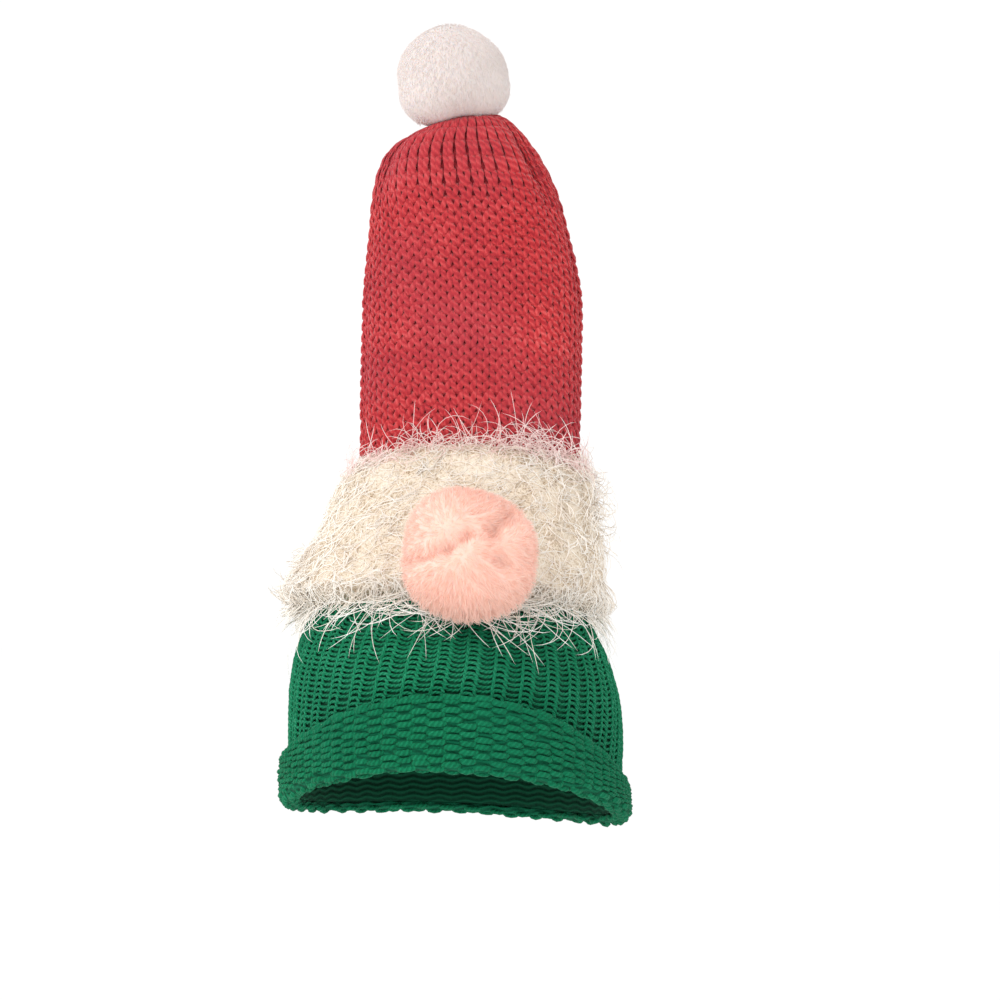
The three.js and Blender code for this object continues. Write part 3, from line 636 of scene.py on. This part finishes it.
def crown_yarn():
    rows, gathered = crown_rows()
    half = len(rows) // 2
    halves = {"crown_stitches_low": slice(0, half), "crown_stitches_high": slice(half, None)}

    def place(out, station, turn):
        return knit_point(out * crowding(station, turn) + CROWN_FACE, station, turn)

    for name, some in halves.items():
        stretch = gathered[some, None]
        shape = {
            "swing": 1.7 - 0.9 * stretch,
            "height": 4.6 * (1 + 0.5 * stretch),
            "depth": 0.95 + 0.9 * stretch,
            "tilt": 0.6 * (1 - stretch),
            "sink": 0.5 * (1 - stretch),
            "corner": 1.0,
            "crowd": 0.1,
            "narrow": 0.6 * stretch,
            "fan": fan_at(rows[some, None]),
        }
        path, outward, tone, station, turn = course_paths(rows[some], CROWN_STEPS, place, shape)
        radius = CROWN_YARN * crowding(station, turn) ** 0.8
        tone = tone + CROWN_TONE
        piece = closed_tubes(name, path, radius, outward, red_yarn, tone, RED_PLY, flat=0.75)
        settle(piece, "red_yarn", "red_crown")


LINING_COLUMNS = 96


def knit_lining(name, stations, wall, material, face):
    """The wall behind the stitches, out to a face given from the middle of the knit."""
    outer = [(face, s) for s in stations]
    inner = [(-wall / 2, s) for s in reversed(stations)]
    return turned_shell(name, outer + inner, LINING_COLUMNS, knit_point, material)


def crown_lining():
    stations = list(np.linspace(CROWN_FOOT + SEAM_GAP / 2, CROWN_END, 44))
    piece = knit_lining("crown_lining", stations, RED_WALL, red_lining, face=0.2)
    settle(piece, "red_yarn", "red_crown")


# Green body and roll
ROLL_FOOT = ROLL_BEND + GREEN_WALL / 2
WALE_LEAN = math.radians(9)
BODY_STEPS = 12  # points of yarn in each stitch
BODY_YARN = 0.95
BODY_FACE = 0.7
BODY_TONE = 0.22


def green_lean(rows):
    """The columns of stitches lean as they go up."""
    return math.tan(WALE_LEAN) * (rows - ROLL_FOOT) / (HEAD_WIDTH / 2)


def roll_height(turn):
    side = ROLL_LEFT + (ROLL_RIGHT - ROLL_LEFT) * (1 + np.sin(turn)) / 2
    end = np.where(np.cos(turn) > 0, ROLL_FRONT, ROLL_BACK)
    return side + (end - side) * np.cos(turn) ** 2


ROLL_TOP = (GREEN_WALL * 1.5 + SEAM_GAP, ROLL_FRONT - GREEN_WALL / 2)
ROLL_CENTRE = GREEN_WALL / 2 + ROLL_BEND
ROLL_ARC = math.pi * ROLL_BEND
ROLL_LIMB = ROLL_TOP[1] - ROLL_FOOT
ROLL_RIPPLES = 151  # how often its yarn swells on the way round
ROLL_STEPS = 14
ROLL_YARN = 1.68
ROLL_FACE = 0.6
ROLL_TONE = 0.07
ROLL_SWELL = 0.1
ROLL_ROWS = 9
ROLL_STITCH = 4.2
EDGE_ROWS = (-1.2, 1.4)  # the last two rows, from the edge of the roll
EDGE_STITCHES = (2.2, 0.6)


def roll_point(out, along, turn):
    """Points on the rolled edge: a way out of its face, and a length along it from the body."""
    angle = np.clip(along / ROLL_ARC, None, 1) * math.pi
    limb = np.clip((along - ROLL_ARC) / ROLL_LIMB, 0, None)
    x = ROLL_CENTRE - ROLL_BEND * np.cos(angle)
    x = x + (ROLL_TOP[0] - ROLL_CENTRE - ROLL_BEND) * limb + 2.0 * limb * (1 - limb)
    up = ROLL_FOOT - ROLL_BEND * np.sin(angle) + ROLL_LIMB * limb
    facing_x, facing_up = -np.cos(angle), -np.sin(angle)
    x = x + facing_x * out
    up = up + facing_up * out
    stretch = (roll_height(turn) - ROLL_FOOT) / (ROLL_FRONT - ROLL_FOOT)
    station = np.where(up > ROLL_FOOT, ROLL_FOOT + (up - ROLL_FOOT) * stretch, up)
    return knit_point(x - GREEN_WALL / 2, station, turn)


def body_yarn():
    shape = dict(swing=0.35, height=2.6, depth=0.55, tilt=0.2, sink=0.8)
    shape.update(corner=0.6, crowd=0.15, narrow=0.3)
    rows = np.arange(ROLL_RIGHT - GREEN_ROW, BODY_TOP + GREEN_ROW, GREEN_ROW)

    def place(out, station, turn):
        return knit_point(out + BODY_FACE, station, turn)

    path, outward, tone, *_ = course_paths(rows, BODY_STEPS, place, shape, green_lean, 0.05)
    radius = np.full(path.shape[:2], BODY_YARN)
    tone = tone + BODY_TONE
    piece = closed_tubes("body_stitches", path, radius, outward, green_yarn, tone, GREEN_PLY, sides=5)
    settle(piece, "green_yarn", "green_body")


def body_lining():
    stations = list(np.linspace(ROLL_FOOT + SEAM_GAP, BODY_TOP - SEAM_GAP / 2, 24))
    piece = knit_lining("body_lining", stations, GREEN_WALL, green_lining, face=-0.2)
    settle(piece, "green_yarn", "green_body")


def roll_yarn():
    edge = ROLL_ARC + ROLL_LIMB
    rows = np.concatenate([np.linspace(1.0, edge - 4.5, ROLL_ROWS), edge + np.array(EDGE_ROWS)])
    height = np.concatenate([np.full(ROLL_ROWS, ROLL_STITCH), EDGE_STITCHES])[:, None]
    shape = dict(swing=0.75, height=height, depth=-1.2, tilt=0.0, sink=0.0, corner=0.3, crowd=0.0)

    def place(out, along, turn):
        return roll_point(out + ROLL_FACE, along, turn)

    path, outward, tone, along, turn = course_paths(rows, ROLL_STEPS, place, shape, uneven=0.15)
    low = np.where(along > ROLL_ARC, (roll_height(turn) - ROLL_FOOT) / (ROLL_FRONT - ROLL_FOOT), 1)
    radius = ROLL_YARN * np.clip(low, 0.35, 1) ** 0.6
    share = np.arange(path.shape[1]) / path.shape[1]
    ripple = np.sin(share * TURN * ROLL_RIPPLES + np.arange(len(rows))[:, None])
    radius = radius * (1 + ROLL_SWELL * ripple)
    tone = tone + ROLL_TONE
    piece = closed_tubes("roll_stitches", path, radius, outward, green_yarn, tone, GREEN_PLY, flat=0.85)
    settle(piece, "green_yarn", "rolled_brim")


def roll_lining():
    half = GREEN_WALL / 2
    bend = np.linspace(0, ROLL_ARC, 7)
    along = np.concatenate([bend, np.linspace(ROLL_ARC, ROLL_ARC + ROLL_LIMB, 7)[1:]])
    outer = [(1.1, s) for s in along] + [(-half / 2, ROLL_ARC + ROLL_LIMB + half * 0.6)]
    inner = [(-half, s) for s in along[::-1]]
    piece = turned_shell("roll_lining", outer + inner, LINING_COLUMNS, roll_point, roll_ground)
    settle(piece, "green_yarn", "rolled_brim")


# Beard
BACKING_FACE = max(GREEN_WALL, BAND_WALL, RED_WALL) / 2 + FUR_CLEAR
THICK_UP = (0.0, 0.32, 0.65, 1.0)
THICK_SHARE = (1.0, 0.9, 0.72, 0.5)


def beard_thickness(station, turn):
    share = (station - BODY_TOP) / (CROWN_FOOT - BODY_TOP)
    thick = np.interp(share, THICK_UP, THICK_SHARE)
    flare = BEARD_FLARE * np.clip(-np.sin(turn), 0, None) * (1 - np.clip(share, 0, 1))
    edge = smooth(share, -0.05, 0.06) * (1 - smooth(share, 0.98, 1.06))
    return BEARD_THICKNESS * (thick + flare) * (0.3 + 0.7 * edge)


def lumps(station, turn, seed):
    """Smooth uneven numbers over the knit, as a sum of a few waves."""
    draw = np.random.default_rng(seed)
    total = 0
    for scale in (5, 9, 16, 27):
        way = draw.uniform(0, TURN)
        first = draw.uniform(0, TURN)
        around = round(scale * math.cos(way))
        wave = np.sin(around * turn + scale * math.sin(way) * station / 70 + first)
        total = total + wave / scale**0.5
    return total


MAT_LOW = BODY_TOP + 2
MAT_HIGH = CROWN_FOOT - 3
MAT_MIDDLE = (MAT_LOW + MAT_HIGH) / 2
MAT_DROOP = 7  # how far its top edge dips at the sides
MAT_COLUMNS = 170
MAT_ROWS = 34
MAT_SHARE = 0.85  # of the beard's thickness
MAT_LUMPS = 0.2
MAT_NOISE = 0.5
MAT_RAGS = 2.0
LOW_EDGE = (MAT_LOW - 6, MAT_LOW + 3)
HIGH_EDGE = (MAT_HIGH - 3, MAT_HIGH + 6)
KNIT_FACE = 4.4  # clear of the stitches of the body and the crown


def beard_face(station, turn):
    share = MAT_SHARE + MAT_LUMPS * lumps(station, turn, 3)
    return BACKING_FACE + beard_thickness(station, turn) * share


def mat_dip(station, turn):
    """How far the mat and the roots of strands near its top edge dip at the sides."""
    share = (station - MAT_LOW) / (MAT_HIGH - MAT_LOW)
    return MAT_DROOP * np.sin(turn) ** 2 * smooth(share, 0.7, 1.0)


def cover(station, turn):
    """How far out the beard's mat reaches, or the bare knit beyond its edges."""
    dip = MAT_DROOP * np.sin(turn) ** 2
    low = smooth(station, *LOW_EDGE)
    high = smooth(station + dip, *HIGH_EDGE)
    return KNIT_FACE + (beard_face(station, turn) - KNIT_FACE) * (low * (1 - high))


def beard_mat():
    stations = np.linspace(MAT_LOW, MAT_HIGH, MAT_ROWS)

    def place(out, station, turn):
        share = (station - MAT_LOW) / (MAT_HIGH - MAT_LOW)
        edge = smooth(share, 0.0, 0.07) * (1 - smooth(share, 0.9, 1.0))
        face = beard_face(station, turn) + rng.normal(0, MAT_NOISE, out.shape)
        face = KNIT_FACE + (face - KNIT_FACE) * edge
        ends = smooth(share, 0.85, 1.0) - smooth(1 - share, 0.85, 1.0)
        ragged = MAT_RAGS * lumps(station, turn, 9) * ends - mat_dip(station, turn)
        return knit_point(np.where(out > 0, face, BACKING_FACE), station + ragged, turn)

    profile = [(1, s) for s in stations] + [(0, s) for s in stations[::-4]]
    piece = turned_shell("beard_mat", profile, MAT_COLUMNS, place, cream_base)
    settle(piece, "cream_fur_yarn", "beard_fur")


STRAND_ROOM = 3.0  # how far strands may pass the CAD model's box
STRAND_LOW = np.array(cad_box[0]) / MM - STRAND_ROOM
STRAND_HIGH = np.array(cad_box[1]) / MM + STRAND_ROOM
STRAND_SINK = 1.2
STRAND_ARCH = (0.45, 0.98)  # 0.5 is a free end, and 1 is one that comes back
# The share of strands painted dark as painted shade.
PAINTED_SHADE_SHARE = 0.12
STRAND_TONE = (0.35, 0.13)
LEFT, RIGHT = -math.pi / 2, math.pi / 2

# Sets of strands: how many, between which stations they root, how long they are, how far their headings
# spread and bend in radians, how far out they arch, and their steps and thickness
STRAND_SETS = table("name count low high length spread curl lift steps radius", [
    ("fur_low", 1750, MAT_LOW, MAT_MIDDLE + 4, (9, 26), 1.5, 2.4, (0.1, 2.8), 6, 0.28),
    ("fur_high", 1550, MAT_MIDDLE, MAT_HIGH, (9, 24), 1.6, 2.4, (0.1, 2.6), 6, 0.28),
    ("hem", 480, MAT_LOW, MAT_LOW + 8, (8, 26), 1.0, 4.4, (0.5, 5), 7, 0.25),
    ("loops", 400, MAT_LOW - 1, MAT_LOW + 5, (14, 40), 0.9, 4.6, (0.5, 6), 8, 0.25),
    ("long", 130, MAT_LOW, MAT_LOW + 8, (26, 56), 0.6, 2.8, (0.5, 4), 10, 0.27),
    ("fringe", 170, MAT_LOW, MAT_LOW + 6, (30, 62), 0.5, 3.0, (1, 7), 10, 0.25),
    ("top", 310, MAT_HIGH - 5, MAT_HIGH + 1, (10, 26), 1.0, 3.0, (0.4, 5), 6, 0.22),
    ("wisps", 130, MAT_HIGH - 3, MAT_HIGH + 1, (16, 32), 0.8, 3.6, (0.4, 6), 8, 0.22),
    ("crest", 75, MAT_HIGH - 3, MAT_HIGH + 2, (18, 34), 0.7, 3.0, (0.4, 6), 8, 0.22),
    ("skirt", 320, MAT_LOW, MAT_LOW + 40, (10, 26), 0.9, 2.2, (2, 9), 6, 0.26),
    ("tip", 230, MAT_LOW, MAT_LOW + 11, (13, 24), 0.6, 1.6, (8, 16), 6, 0.27),
    ("tuft", 150, MAT_LOW, MAT_LOW + 24, (14, 34), 0.5, 1.2, (3, 9), 6, 0.27),
    ("curls", 170, MAT_LOW + 40, MAT_HIGH, (14, 32), 2.2, 4.0, (4, 13), 7, 0.22),
])
# The turns near which some sets lie, and how far they scatter. The others go all the way round.
STRAND_TURNS = {
    "fringe": (0.15, 0.42),
    "crest": (0.9, 0.3),
    "skirt": (LEFT, 0.3),
    "tip": (LEFT, 0.18),
    "tuft": (RIGHT, 0.2),
    "curls": (RIGHT, 0.35),
}
STRAND_ARCHES = {"skirt": (0.35, 0.7), "tip": (0.42, 0.6), "tuft": (0.42, 0.7)}
# Larger shares of strands painted dark as painted shade, at the beard's edges.
PAINTED_SHADE_BY_SET = {"hem": 0.3, "skirt": 0.5, "tip": 0.5, "tuft": 0.4, "curls": 0.4}
UPWARD_SETS = ("top", "wisps", "crest")  # they lie over the red knit
DIPPED_SETS = ("fur_high", *UPWARD_SETS)


def strands(kind, roots):
    """Glossy strands of one set, which lie along the beard or curl out of it."""
    station, turn = roots
    name, steps, lift = kind["name"], kind["steps"], kind["lift"]
    count = len(station)
    upward = name in UPWARD_SETS
    lengths = rng.uniform(*kind["length"], count)
    step = lengths / (steps - 1)
    angle = (math.pi if upward else 0) + rng.normal(0, kind["spread"], count)
    bend = rng.normal(0, kind["curl"], count) / (steps - 1)
    high = rng.uniform(0, 1, count) ** 1.5 * (lift[1] - lift[0]) + lift[0]
    arch = rng.uniform(*STRAND_ARCHES.get(name, STRAND_ARCH), count)
    start = turn
    points = []
    for i in range(steps):
        risen = np.sin(math.pi * arch * i / (steps - 1))
        out = cover(station, turn) - STRAND_SINK + (high + STRAND_SINK) * risen
        points.append(knit_point(out, station, turn))
        station = station - np.cos(angle) * step
        turn = turn + np.sin(angle) * step / directions(station, turn)[3]
        angle = angle + bend
    paths = np.stack(points, 1)
    widths = kind["radius"] * rng.uniform(0.7, 1.2, count)[:, None] * np.linspace(1, 0.7, steps)[None]
    # Painted shade: these strands take the darkest fur colour.
    dark = rng.random(count) < PAINTED_SHADE_BY_SET.get(name, PAINTED_SHADE_SHARE)
    tone = np.where(dark, 0.0, rng.normal(*STRAND_TONE, count))
    kept = (paths > STRAND_LOW).all((1, 2)) & (paths < STRAND_HIGH).all((1, 2))
    outward = directions(station, start)[2]
    # Painted red light: strands over the red knit take the pink-tinted cream.
    material = red_lit_fur if upward else cream_fur
    piece = hair_object("beard_" + name, paths[kept], widths[kept], outward[kept], material, tone[kept])
    settle(piece, "cream_fur_yarn", "beard_fur")


def roots_of(kind):
    """Stations and turns of a set's roots. Those of some sets follow the dip of the mat's top edge."""
    name, count = kind["name"], kind["count"]
    station = rng.uniform(kind["low"], kind["high"], count)
    if name in STRAND_TURNS:
        turn = rng.normal(*STRAND_TURNS[name], count) % TURN
    else:
        turn = rng.uniform(0, TURN, count)
    turn = even_turn(station, turn)
    if name in DIPPED_SETS:
        station = station - mat_dip(station, turn)
    return station, turn


def beard_strands():
    for kind in STRAND_SETS:
        strands(kind, roots_of(kind))


def band_lining():
    stations = list(np.linspace(BODY_TOP + SEAM_GAP / 2, CROWN_FOOT - SEAM_GAP / 2, 16))
    piece = knit_lining("band_lining", stations, BAND_WALL, cream_lining, face=BAND_WALL / 2)
    settle(piece, "cream_fur_yarn", "beard_band")


# Pompoms
CORE_TONE = 0.35
# Cores take the painted shade of the hair roots.
CORE_ALONG = 0.25  # cores are coloured as hair is this far along
BARE_SEAT = 0.85  # the cosine of how far no hair grows from the middle of the seat
HAIR_SINK = 0.5


def node_middle(node):
    low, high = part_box(node)
    return np.array((low + high) / 2) / MM, np.array((high - low) / 2) / MM


def sphere_points(count):
    """Evenly spread directions."""
    i = np.arange(count) + 0.5
    z = 1 - 2 * i / count
    ring = np.sqrt(1 - z**2)
    angle = math.pi * (3 - math.sqrt(5)) * i
    return np.stack([ring * np.cos(angle), ring * np.sin(angle), z], -1)


def ball(name, middle, half, form, material, rings=58, columns=96):
    """A ball whose size in each direction is a share given by form."""
    polar = np.linspace(0, math.pi, rings)[1:-1]
    turn = np.arange(columns) / columns * TURN
    polar, turn = np.meshgrid(polar, turn, indexing="ij")
    ways = np.stack([np.sin(polar) * np.cos(turn), np.sin(polar) * np.sin(turn), np.cos(polar)], -1)
    poles = np.array([[0, 0, 1.0], [0, 0, -1.0]])
    every = np.concatenate([ways.reshape(-1, 3), poles])
    points = middle + every * half * form(every)[:, None]
    rows = rings - 2
    quads = grid_faces(rows, columns, closed_rows=False)
    c = np.arange(columns)
    top, bottom = rows * columns, rows * columns + 1
    caps = np.stack([np.full(columns, top), (c + 1) % columns, c], -1)
    base = (rows - 1) * columns
    feet = np.stack([np.full(columns, bottom), base + c, base + (c + 1) % columns], -1)
    shade = np.full(len(every), CORE_TONE) + rng.normal(0, 0.04, len(every))
    marks = {"tone": shade, "along": np.full(len(every), CORE_ALONG)}
    return mesh_object(name, points, [quads[:, ::-1], caps[:, ::-1], feet[:, ::-1]], material, marks)


def curved(roots, ways, lengths, bend, steps):
    """Paths that leave their roots along ways and bend more and more."""
    t = np.linspace(0, 1, steps)[None, :, None]
    reach = lengths[:, None, None]
    return roots[:, None] + ways[:, None] * reach * t + bend[:, None] * reach * t**2


def surface_facing(ways, half, form):
    """The outward direction of a pompom's surface, each way from its middle."""
    side = unit(np.cross(ways, (0.3, 0.5, 0.8)))
    other = np.cross(ways, side)

    def place(shift):
        moved = unit(ways + shift)
        return moved * half * form(moved)[:, None]

    across = place(side * 0.02) - place(side * -0.02)
    along = place(other * 0.02) - place(other * -0.02)
    return unit(np.cross(across, along))


def drawn_together(ways, ends, tufts, share):
    """How far hair ends move when they are drawn together into tufts."""
    tuft = np.argmax(ways @ sphere_points(tufts).T, axis=1)
    total = np.zeros((tufts, 3))
    np.add.at(total, tuft, ends)
    middles = total / np.maximum(np.bincount(tuft, minlength=tufts), 1)[:, None]
    return (middles[tuft] - ends) * share


def pompom_hair(name, middle, half, form, material, comb, seat, kind):
    """Fur combed along a pompom's surface, with its ends in tufts. None grows round its seat.

    kind has the hairs' count, lengths, steps and radius, how far they rise from the surface, how many tufts
    they are drawn into and how far, and how much longer the hair of the underside is.
    """
    count, steps = kind["count"], kind["steps"]
    ways = unit(sphere_points(count) + rng.normal(0, 0.012, (count, 3)))
    ways = ways[ways @ seat < BARE_SEAT]
    facing = surface_facing(ways, half, form)
    roots = middle + ways * half * form(ways)[:, None] - facing * HAIR_SINK
    sweep = comb(ways)
    sweep = sweep - facing * np.sum(sweep * facing, -1, keepdims=True)
    sweep = sweep / np.maximum(np.linalg.norm(sweep, axis=-1, keepdims=True), 0.5)
    heading = unit(facing * kind["rise"] + sweep + rng.normal(0, 0.1, ways.shape))
    lengths = rng.uniform(*kind["length"], len(ways))
    lengths = lengths * (1 + kind["droop"] * smooth(-ways[:, 2], 0.1, 0.9))
    bend = sweep * 0.2 - facing * 0.1 + rng.normal(0, 0.08, ways.shape)
    ends = roots + (heading + bend) * lengths[:, None]
    bend = bend + drawn_together(ways, ends, kind["tufts"], kind["drawn"]) / lengths[:, None]
    paths = curved(roots, heading, lengths, bend, steps)
    widths = kind["radius"] * rng.uniform(0.7, 1.2, len(ways))[:, None] * np.linspace(1, 0.6, steps)[None]
    tone = rng.normal(0.25, 0.03, len(ways))
    return hair_object(name, paths, widths, facing, material, tone)


BLEND = 10.0  # how sharply puffs meet
FULLNESS = 0.4  # how near the whole comes to one round ball
ROUND_SIZE = 0.94


def puffed(puffs, creases=()):
    """The form of soft puffs: a size in each direction, as a share of the half size.

    creases run over the front, from one point to another as seen from there.
    """
    centres = np.array([[puff["across"], puff["behind"], puff["up"]] for puff in puffs])
    sizes = np.array([puff["size"] for puff in puffs])

    def form(ways):
        along = ways @ centres.T
        reach = along + np.sqrt(np.maximum(sizes**2 - (centres**2).sum(-1) + along**2, 0))
        joined = np.log(np.exp(BLEND * reach).sum(-1)) / BLEND
        size = FULLNESS * ROUND_SIZE + (1 - FULLNESS) * joined
        for crease in creases:
            start = np.array([crease["from_x"], crease["from_z"]])
            run = np.array([crease["to_x"], crease["to_z"]]) - start
            seen = ways[:, (0, 2)] - start
            share = np.clip(seen @ run / (run @ run), 0, 1)[:, None]
            apart = np.linalg.norm(seen - share * run, axis=-1) / crease["width"]
            size = size - crease["depth"] * np.exp(-(apart**2)) * smooth(-ways[:, 1], 0, 0.3)
        return size

    return form


# Puffs of fur: the centre of each and its size, as shares of the pompom's half size
NOSE_PUFFS = table("across behind up size", [
    (-0.30, -0.22, 0.34, 0.62),
    (0.48, -0.18, 0.20, 0.46),
    (0.00, -0.24, -0.30, 0.58),
    (-0.46, -0.14, -0.24, 0.52),
    (0.44, -0.18, -0.30, 0.48),
    (0.02, 0.06, 0.02, 0.84),
    (0.10, 0.30, 0.20, 0.60),
    (-0.16, 0.30, -0.14, 0.60),
])
TOP_PUFFS = table("across behind up size", [
    (0.00, 0.00, 0.00, 0.86),
    (-0.04, 0.00, 0.30, 0.66),
    (0.36, 0.05, 0.02, 0.64),
    (-0.34, -0.05, 0.00, 0.66),
    (-0.42, -0.16, -0.58, 0.61),
    (0.54, -0.10, -0.44, 0.58),
    (0.05, 0.38, -0.34, 0.58),
    (0.05, -0.38, -0.30, 0.58),
    (-0.20, 0.25, 0.20, 0.62),
])
NOSE_CREASES = table("from_x from_z to_x to_z width depth", [
    (-0.93, -0.12, -0.40, 0.06, 0.13, 0.07),
    (-0.40, 0.06, -0.04, 0.30, 0.13, 0.09),
    (0.80, 0.78, 0.46, 0.42, 0.20, 0.15),
    (0.50, -0.10, 0.56, -0.16, 0.12, 0.07),
])
NOSE_HAIR, TOP_HAIR = table("count length steps radius rise tufts drawn droop", [
    (9000, (4.0, 6.5), 4, 0.17, 0.6, 420, 0.55, 0.5),
    (10000, (2.4, 3.8), 3, 0.14, 0.5, 500, 0.25, 0.0),
])
NOSE_GROW = -0.8  # how far the core stands out from the CAD model's ball
TOP_GROW = 0.1


def nose():
    middle, half = node_middle("nose_pompom")
    half = half + NOSE_GROW
    form = puffed(NOSE_PUFFS, NOSE_CREASES)
    core = ball("nose_core", middle, half, form, pink_core)
    settle(core, "pink_faux_fur", "nose_pompom")

    def comb(ways):
        return np.zeros(ways.shape) + (0.17, 1.4, -0.22)

    seat = np.array([0, 1.0, 0])
    fur = pompom_hair("nose_fur", middle, half, form, pink_fur, comb, seat, NOSE_HAIR)
    settle(fur, "pink_faux_fur", "nose_pompom")


def top():
    middle, half = node_middle("top_pompom")
    half = half + TOP_GROW
    form = puffed(TOP_PUFFS)
    core = ball("top_core", middle, half, form, white_core)
    settle(core, "white_faux_fur", "top_pompom")

    def comb(ways):
        return np.stack([ways[:, 0] * 0.4, ways[:, 1] * 0.4, np.full(len(ways), -1.0)], -1)

    seat = np.array([0, 0, -1.0])
    fur = pompom_hair("top_fur", middle, half, form, white_fur, comb, seat, TOP_HAIR)
    settle(fur, "white_faux_fur", "top_pompom")


def ties():
    for node, material in (("top_pompom_tie", white_fur), ("nose_pompom_tie", pink_fur)):
        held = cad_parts[node]
        held.data.materials.clear()
        held.data.materials.append(material)


crown_yarn()
crown_lining()
body_yarn()
body_lining()
roll_yarn()
roll_lining()
band_lining()
beard_mat()
beard_strands()
nose()
top()
ties()


# Floor, light and camera, in metres, with the sensor and the lens in millimetres
FLOOR_SIZE = 60.0
FLOOR_HEIGHT = -0.3
WORLD_STRENGTH = 1.04
KEY_AT, KEY_TO = (-0.9, -1.3, 1.0), (0, 0, 0.2)
KEY_SIZE, KEY_POWER = 0.9, 11
CAMERA_AT, CAMERA_TO = (0.0242, -1.45, 0.1), (0.0242, 0, 0.172)
SENSOR_WIDTH = 36
LENS = 95.03


def stage_material():
    material, _, shader = shader_nodes("floor_paper")
    shader.inputs["Base Color"].default_value = (0.97, 0.97, 0.97, 1)
    shader.inputs["Roughness"].default_value = 1.0
    shader.inputs["Specular IOR Level"].default_value = 0.0
    return material


def floor():
    sides = ((-1, -1), (1, -1), (1, 1), (-1, 1))
    corners = [(FLOOR_SIZE * x, FLOOR_SIZE * y, FLOOR_HEIGHT) for x, y in sides]
    mesh = bpy.data.meshes.new("floor")
    mesh.from_pydata(corners, [], [(0, 1, 2, 3)])
    mesh.materials.append(stage_material())
    sheet = bpy.data.objects.new("floor", mesh)
    bpy.context.collection.objects.link(sheet)


def aim(thing, place, target):
    thing.location = place
    thing.rotation_euler = (Vector(target) - thing.location).to_track_quat("-Z", "Y").to_euler()
    bpy.context.collection.objects.link(thing)


def key_light():
    data = bpy.data.lights.new("key", "AREA")
    data.shape = "DISK"
    data.size = KEY_SIZE
    data.energy = KEY_POWER
    aim(bpy.data.objects.new("key", data), KEY_AT, KEY_TO)


def world_light():
    world = bpy.data.worlds.new("studio")
    world.use_nodes = True
    backdrop = world.node_tree.nodes["Background"]
    backdrop.inputs["Color"].default_value = (1, 1, 1, 1)
    backdrop.inputs["Strength"].default_value = WORLD_STRENGTH
    bpy.context.scene.world = world


def camera():
    data = bpy.data.cameras.new("camera")
    data.sensor_width = SENSOR_WIDTH
    data.lens = LENS
    eye = bpy.data.objects.new("camera", data)
    aim(eye, CAMERA_AT, CAMERA_TO)
    bpy.context.scene.camera = eye


floor()
world_light()
key_light()
camera()
bpy.context.scene.view_settings.view_transform = "Standard"
